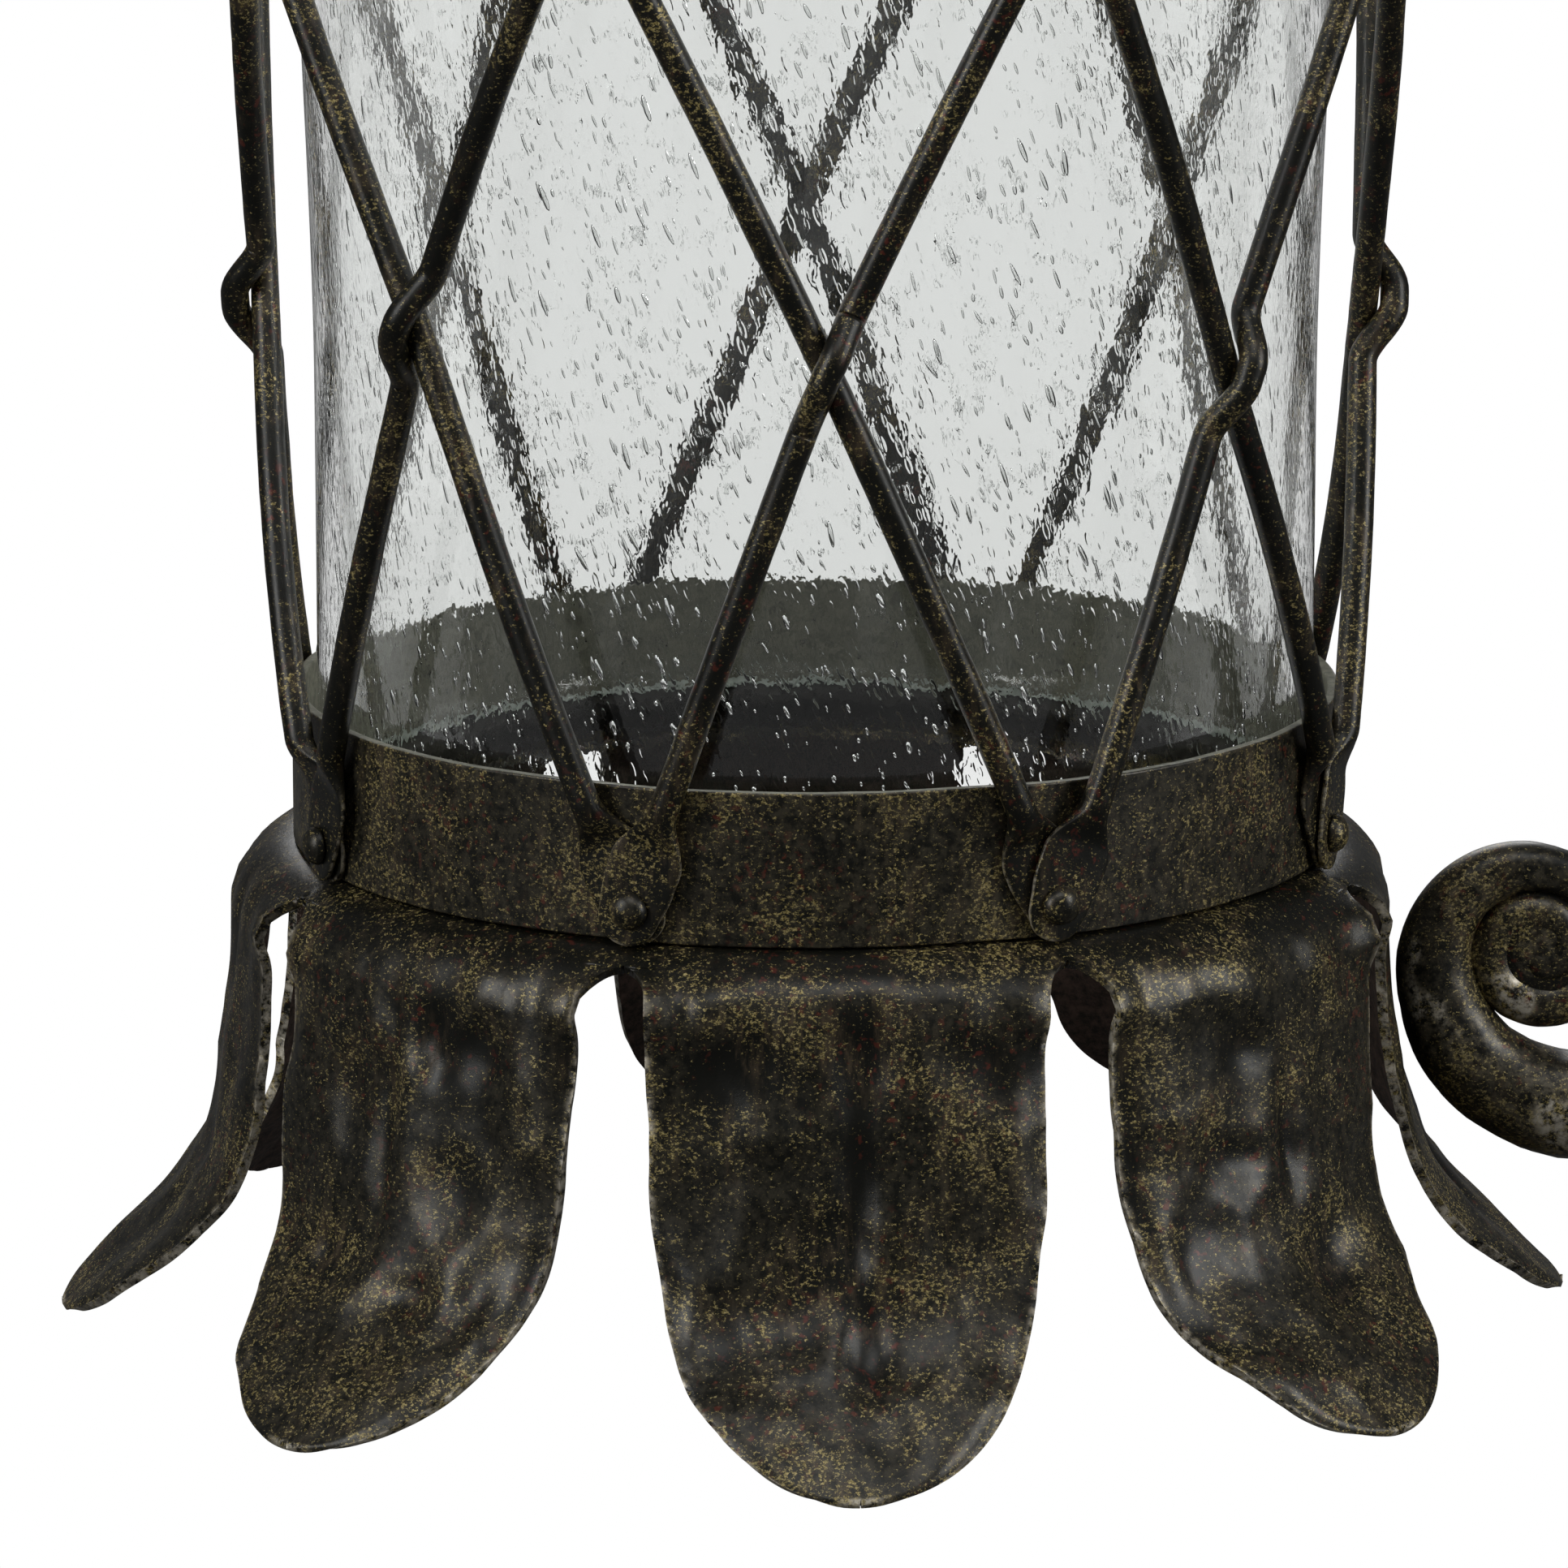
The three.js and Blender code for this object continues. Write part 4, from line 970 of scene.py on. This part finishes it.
# ---- bracket
def scroll_bracket():
    """Heavy round bar forged into a C with a snail scroll at each end."""
    low = cad_mm("scroll_bracket")[0]
    saddle_low, saddle_high = cad_mm("bracket_saddle")
    stem_x = WALL_X - WALL_PLATE_T - GAP - STEM_R
    lower_up = -28.0
    upper_up = (saddle_low[2] + saddle_high[2]) / 2 - 4
    turns_end = 1.508
    # The inner turns are upset until they touch, which leaves a groove and a round boss at the eye.
    turns = np.linspace(-0.8, turns_end, 240)
    spread = np.maximum(0, (turns - 1.28) / (turns_end - 1.28))
    rho = 8.5 * np.exp(0.8 * turns) * smooth(turns, -0.8, -0.1) + 8.1 * spread**1.6
    a = math.radians(-262) + turns * 2 * math.pi
    dx = rho * np.cos(a)
    dz = rho * np.sin(a)
    drawn = 4.2 * np.exp(0.25 * turns) + 6 * smooth(turns, 0.9, 1.6) + 0.6 * smooth(turns, 1.4, 1.6)
    reach = np.where(turns > 0, drawn - dx, 0).max()
    lower_x = low[0] + reach - SCROLL_TUCK
    upper_x = TOP_R + GAP + SADDLE_T + 2 * GAP + reach
    radius = drawn + 0.9 * (1 - smooth(turns, 0.35, 0.8)) + 0.7 * (1 - smooth(turns, -0.5, 0.1))

    def arm(eye_x, eye_z, flip, stem_end):
        """x, z and bar radius from a scroll's eye to the stem."""
        coil = np.c_[eye_x + dx, eye_z + flip * dz]
        heading = coil[-1] - coil[-2]
        heading /= np.linalg.norm(heading)
        p0 = coil[-1]
        p1 = p0 + heading * 0.55 * (stem_x - p0[0])
        p2 = np.array([stem_x, stem_end - flip * 72])
        p3 = np.array([stem_x, stem_end])
        t = np.linspace(0, 1, 60)[1:, None]
        curve = (1 - t) ** 3 * p0 + 3 * t * (1 - t) ** 2 * p1 + 3 * t**2 * (1 - t) * p2 + t**3 * p3
        r = mix(radius[-1], STEM_R, smooth(t[:, 0], 0, 0.5))
        return np.vstack([np.c_[coil, radius], np.c_[curve, r]])

    lower = arm(lower_x, lower_up, 1, WALL_CENTRE_UP - 135)
    upper = arm(upper_x, upper_up, -1, WALL_CENTRE_UP + 135)
    stem = np.linspace(lower[-1, 1], upper[-1, 1], 70)[1:-1]
    stem = np.c_[np.full_like(stem, stem_x), stem, np.full_like(stem, STEM_R)]
    line = np.vstack([lower, stem, upper[::-1]])
    centre = np.c_[line[:, 0], np.zeros(len(line)), line[:, 1]]
    out = np.tile([0.0, -1.0, 0.0], (len(line), 1))
    rings = sweep_points(centre, out, line[:, 2], line[:, 2], 56)
    relief = 0.05 * layered_noise(rings, 11, 33) + 0.022 * layered_noise(rings, 3.2, 35)
    rings = centre[:, None] + (rings - centre[:, None]) * (1 + np.minimum(relief, 0.012)[..., None])
    # Painted highlight: the side of the bar that faces the front gets extra wear, which shows as silver and
    # gold patches there. The patches spread by noise alone are rubbed wear.
    front_highlight = np.clip(-(rings - centre[:, None])[..., 1] / line[:, 2][:, None], 0, 1)
    wear = 0.25 * front_highlight + 0.9 * smooth(front_highlight, 0.35, 0.9) * smooth(layered_noise(rings, 13, 12), -0.05, 0.4)
    wear = np.minimum(wear + 0.2 * smooth(layered_noise(rings, 16, 19), 0.15, 0.6), 1.0)
    swept("forged_scroll", rings, wear, replaces=["scroll_bracket"])
    scroll_eye("lower", lower_x, lower_up)
    scroll_eye("upper", upper_x, upper_up)


def scroll_eye(which, x, z):
    """Round boss in the middle of a scroll, on both faces."""
    r = 15.2
    h = 5.1
    boss = [(r * math.cos(t), h * math.sin(t)) for t in np.linspace(-math.pi / 2, math.pi / 2, 25)[1:-1]]

    def lay(rings):
        uneven = 1 + 0.1 * value_noise(rings, 5, 3)
        return xyz(rings[..., 0] + x, rings[..., 2] * uneven, rings[..., 1] + z)

    profile = [(0, -h), *boss, (0, h)]
    lathe(f"{which}_scroll_eye", profile, IRON, 64, 0.2, 1, lay, lambda away, up: 0.4 * (away < 6))


def saddle_block():
    """Block bent to the top band, between it and the upper scroll."""
    low, high = cad_mm("bracket_saddle")
    inner = TOP_R + GAP
    half = math.asin((high[1] - low[1]) / 2 / (inner + SADDLE_T))
    work = bmesh.new()
    bmesh.ops.create_cube(work, size=1)
    bmesh.ops.subdivide_edges(work, edges=work.edges, cuts=11, use_grid_fill=True)
    work.verts.index_update()
    co = np.array([vertex.co for vertex in work.verts])
    faces = [[vertex.index for vertex in face.verts] for face in work.faces]
    work.free()
    radius = inner + SADDLE_T / 2 + co[:, 1] * SADDLE_T
    up = (low[2] + high[2]) / 2 + co[:, 2] * (high[2] - low[2])
    on_edge = (np.abs(np.abs(co) - 0.5) < 0.01).sum(1) > 1
    made = piece("saddle_block", polar(math.pi / 2 + co[:, 0] * 2 * half, radius, up), faces, IRON,
                 replaces=["bracket_saddle"], wear=np.where(on_edge, 0.9, 0.1))
    outward(made)
    bevelled(made, 1.0, 3)
    weigh_normals(made)


def bracket_fixings():
    """Saddle, bolts and nuts at the top band, and the rivets through the stem."""
    saddle_block()
    for i in (1, 2):
        bolt(i)
        nut(i)
    for i in (1, 2):
        stem_rivet(i)


def bolt(i):
    """Saddle bolt: head outside, shank through the saddle and the top band."""
    shank_r = 3.0
    top = TOP_R + GAP + SADDLE_T + GAP + HEX_H
    bottom = top - HEX_H
    tail = TOP_R - BAND_T - GAP - HEX_H - 1.5
    profile = [(0, tail), (shank_r - 0.5, tail), (shank_r, tail + 0.6), (shank_r, bottom), (HEX_R, bottom),
               (HEX_R, top), (0, top)]
    hexagon(f"bolt_{i}", f"saddle_bolt_{i}", profile, bottom, top)


def nut(i):
    """Saddle nut, inside the top band."""
    node_name = f"saddle_nut_{i}"
    bore_r = 3.15
    low, high = cad_mm(node_name)
    middle = np.linalg.norm((low + high)[:2] / 2)
    bottom = middle - HEX_H / 2
    top = middle + HEX_H / 2
    profile = [(bore_r, bottom), (HEX_R, bottom), (HEX_R, top), (bore_r, top)]
    hexagon(f"nut_{i}", node_name, profile, bottom, top)


def hexagon(name, node_name, profile, bottom, top):
    """Hexagon head or nut with turned chamfers, laid radially where its CAD node is."""
    low, high = cad_mm(node_name)
    x, y, up = (low + high) / 2
    angle = math.atan2(x, -y)

    def lay(rings):
        a = np.arctan2(rings[..., 1], rings[..., 0])
        rho = np.hypot(rings[..., 0], rings[..., 1])
        flat = HEX_R * math.cos(math.pi / 6) / np.cos((a % (math.pi / 3)) - math.pi / 6)
        face = np.minimum(rings[..., 2] - bottom, top - rings[..., 2])
        chamfer = HEX_R - 0.12 + 0.35 * np.clip(face, 0, 0.8)
        rho = np.where(rho > 3.5, np.minimum(np.minimum(rho, flat), np.maximum(chamfer, 4.7)), rho)
        return radially(angle, rho * np.cos(a), rho * np.sin(a), rings[..., 2], up)

    lathe(name, profile, IRON, 72, 0.35, 2, lay, replaces=[node_name])


def stem_rivet(i):
    """Rivet through the stem and the wall plate."""
    low, high = cad_mm(f"stem_rivet_{i}")
    up = (low[2] + high[2]) / 2
    reach = WALL_PLATE_T + 2 * STEM_R + 2 * GAP
    r = 7.5
    h = 5.0
    profile = [(0, 0.2), (4, 0.2), (4, reach), (r - 1, reach), *round_head(r, h, reach), (0, reach + h)]

    def lay(rings):
        uneven = 1 + 0.03 * value_noise(rings, 5, 70 + i)
        return xyz(WALL_X - rings[..., 2], rings[..., 0] * uneven, rings[..., 1] * uneven + up)

    lathe(f"stem_pin_{i}", profile, IRON, 40, 0.5, 2, lay, lambda away, out: 0.35 * (out > reach + 2),
          replaces=[f"stem_rivet_{i}"])


def wall_plate():
    """Round-cornered plate with four screw holes and two rivet holes."""
    low, high = cad_mm("wall_plate")
    t, w, h = high - low
    r = 30
    y = w / 2 - r
    z = h / 2 - r
    outline = []
    for quarter, (sy, sz) in enumerate(((1, 1), (-1, 1), (-1, -1), (1, -1))):
        outline += arc(sy * y, sz * z, r, quarter * 90, quarter * 90 + 90, 20)
    holes = [circle(sy * 25, sz * 135, 4.5, 40) for sy in (-1, 1) for sz in (-1, 1)]
    holes += [circle(0, sz * 90, 4.3, 40) for sz in (-1, 1)]

    middle = (WALL_X - t / 2, 0, WALL_CENTRE_UP)
    plate_from_outline("backplate", outline, holes, t, 1.1, middle, upright=True, replaces=["wall_plate"])


# ---- top plate and burner
def top_plate():
    """Vented plate with a rim that drops inside the top band."""
    low, high = cad_mm("top_plate")
    top = high[2]
    r = (high[0] - low[0]) / 2
    slot_r = 5.0
    slot = arc(126 - slot_r, 0, slot_r, -90, 90, 14) + arc(74 + slot_r, 0, slot_r, 90, 270, 14)
    holes = [circle(0, 0, 52, 96)]
    for k in range(PETALS):
        a = TURN + k * PITCH - math.pi / 2
        c, s = math.cos(a), math.sin(a)
        holes.append([(c * x - s * y, s * x + c * y) for x, y in slot])
    plate_from_outline("vent_plate", circle(0, 0, r, 220), holes, PLATE_T, 0.55, (0, 0, top - PLATE_T / 2),
                       replaces=["top_plate"], body="top_plate")
    outer = TOP_R - BAND_T - 0.9
    inner = outer - 2.4
    foot = top - PLATE_T - 8
    rise = top - PLATE_T + 0.3
    profile = [(inner, foot), (outer, foot), (outer, rise), (inner, rise)]
    lathe("vent_plate_lip", profile, IRON, 220, 0.5, 3, body="top_plate")


def burner():
    """Canister, brass cap with its tube, wick, and the hinged bell over it."""
    low, high = cad_mm("oil_canister")
    foot = low[2]
    neck_top = high[2]
    plate_top = neck_top - 30
    cap_top = neck_top + 5
    tube_top = neck_top + 20
    wick_top = plate_top + 56
    canister(foot, plate_top + GAP, neck_top)
    burner_cap(neck_top, cap_top, tube_top)
    hinge_parts(24.0, neck_top + 8, cap_top)
    wick(foot + 10, wick_top, tube_top)
    bell = above(wick_top, (0, 1.5), (8.5, 0.8), (11.5, -3))
    bell += above(cap_top + 0.9, (11.5, 0), (13.2, 0), (13.5, 0.8), (13, 1.8))
    bell += above(wick_top, (13, -3), (11.5, 1), (8, 3.4), (3, 4.4), (1.9, 6), (2.6, 7.4), (4, 9), (3.9, 11),
                  (2.4, 12.7), (0, 13))
    lathe("snuffer_bell", bell, BLACK, 96, 0.9, 4, replaces=["snuffer_cap"], **ON_SNUFFER)


def canister(foot, flange, neck_top):
    """Spun can with a flange that rests on the top plate, a shoulder and a neck."""
    r = 50.0
    inside = r - 1.5
    profile = above(foot, (0, 2.2), (r - 6, 2.2), (r - 5, 0), (r - 1.5, 0), (r, 1.8))
    profile += above(flange, (r, -42), (r + 0.7, -40.5), (r, -39), (r, 0), (58, 0), (58.4, 0.9), (58, 1.8),
                     (r, 1.7), (r - 4, 8), (r - 14, 15), (24, 18), (20, 19.4), (17.2, 21))
    profile += above(neck_top, (17, -1.4), (17.5, -0.8), (17, 0), (15.5, 0))
    profile += above(flange, (15.5, 19), (22, 17), (r - 15, 13), (r - 5.4, 6.6), (inside, 0))
    profile += above(foot, (inside, 3.7), (0, 3.7))
    lathe("canister", profile, BLACK, 144, 0.9, 4, body="canister", slot="canister_steel",
          replaces=["oil_canister"])


def burner_cap(neck_top, cap_top, tube_top):
    """Knurled cap over the canister's neck, with the wick's tube."""
    bore = WICK_R + GAP
    tube_r = bore + 1.6
    profile = above(neck_top, (bore, GAP), (17.6, GAP), (17.6, -7.5), (21, -7.5), (21, -5), (21, -2), (21, 1))
    profile += above(cap_top, (21, -2), (19, 0), (12, 0.4), (tube_r + 1.5, 0.6), (tube_r, 2.4))
    profile += above(tube_top, (tube_r, -3), (tube_r + 0.5, -1.6), (tube_r, 0), (bore, 0))

    def knurl(rings):
        z = rings[..., 2]
        a = np.arctan2(rings[..., 1], rings[..., 0])
        grip = smooth(np.hypot(rings[..., 0], rings[..., 1]), 20.2, 20.9)
        grip *= smooth(z, neck_top - 7, neck_top - 5.6) * (1 - smooth(z, cap_top - 3.4, cap_top - 2))
        rings[..., :2] *= (1 - 0.018 * grip * (0.5 + 0.5 * np.cos(a * 60)))[..., None]
        return rings

    lathe("burner_collar", profile, BRASS, 480, 0.5, 3, knurl, replaces=["burner_cap"], **ON_BURNER)


def wick(foot, top, tube_top):
    """Round braid with a frayed, charred tip."""
    z = np.linspace(foot, top, 300)
    centre = np.c_[0 * z, 0 * z, z]
    half = np.full_like(z, 5.35)
    sides = 48
    rings = sweep_points(centre, np.tile([0.0, -1.0, 0.0], (len(z), 1)), half, half, sides)
    a = np.arctan2(rings[..., 1], rings[..., 0])
    braid = np.abs(np.sin(4 * a + z[:, None] * 0.9)) * np.abs(np.sin(4 * a - z[:, None] * 0.9))
    fray = smooth(z, top - 6, top)[:, None] * value_noise(rings, 1.6, 9)
    rings[..., :2] *= (1 - 0.05 * braid - 0.10 * np.maximum(fray, 0))[..., None]
    rings[..., 2] += fray * 0.7
    points, faces = capped(rings, rings[0].mean(0), rings[-1].mean(0) - [0, 0, 0.8])
    char = np.r_[np.repeat(smooth(z, tube_top - 2, top - 1), sides), 0, 1]
    outward(piece("wick_braid", points, faces, FIBRE, body="burner", slot="glass_fibre_wick",
                  replaces=["wick"], char=char))


def box_piece(name, low, high, bevel, material, **kind):
    """A block with rounded edges between two corners, in millimetres about the torch axis."""
    low, high = np.array(low, float), np.array(high, float)
    corners = np.array([[x, y, z] for x in (0, 1) for y in (0, 1) for z in (0, 1)]) * (high - low) + low
    faces = [(0, 1, 3, 2), (4, 6, 7, 5), (0, 4, 5, 1), (2, 3, 7, 6), (0, 2, 6, 4), (1, 5, 7, 3)]
    made = piece(name, corners, faces, material, wear=np.full(8, 0.6), **kind)
    outward(made)
    bevelled(made, bevel, 4)
    weigh_normals(made)


def hinge_parts(hinge_x, hinge_z, cap_top):
    """Lug on the burner collar, the two cheeks of the bell, and the pin."""
    far = hinge_x + 3
    box_piece("hinge_lug", (hinge_x - 6, -4, hinge_z - 8), (far, 4, hinge_z + 2.6), 1.2, BRASS, **ON_BURNER)
    for side, y in (("left", -6.2), ("right", 4.4)):
        near = (11.4, y, cap_top + 0.7)
        box_piece(f"bell_cheek_{side}", near, (far, y + 1.8, cap_top + 6.4), 0.7, BLACK, **ON_SNUFFER)
    half = 6.6
    end = half + 1
    profile = [(0, -end), (2.3, -end), (2.3, -half), (1.3, -half)]
    profile += [(r, -z) for r, z in reversed(profile)]

    def lay(rings):
        return xyz(rings[..., 0] + hinge_x, rings[..., 2], rings[..., 1] + hinge_z)

    lathe("bell_pin", profile, BRASS, 28, 0.3, 2, lay, replaces=["snuffer_pin"], **ON_BURNER)


camera()
stage()
cage()
petal_skirt()
glass_chimney()
seat_ring()
scroll_bracket()
bracket_fixings()
wall_plate()
top_plate()
burner()
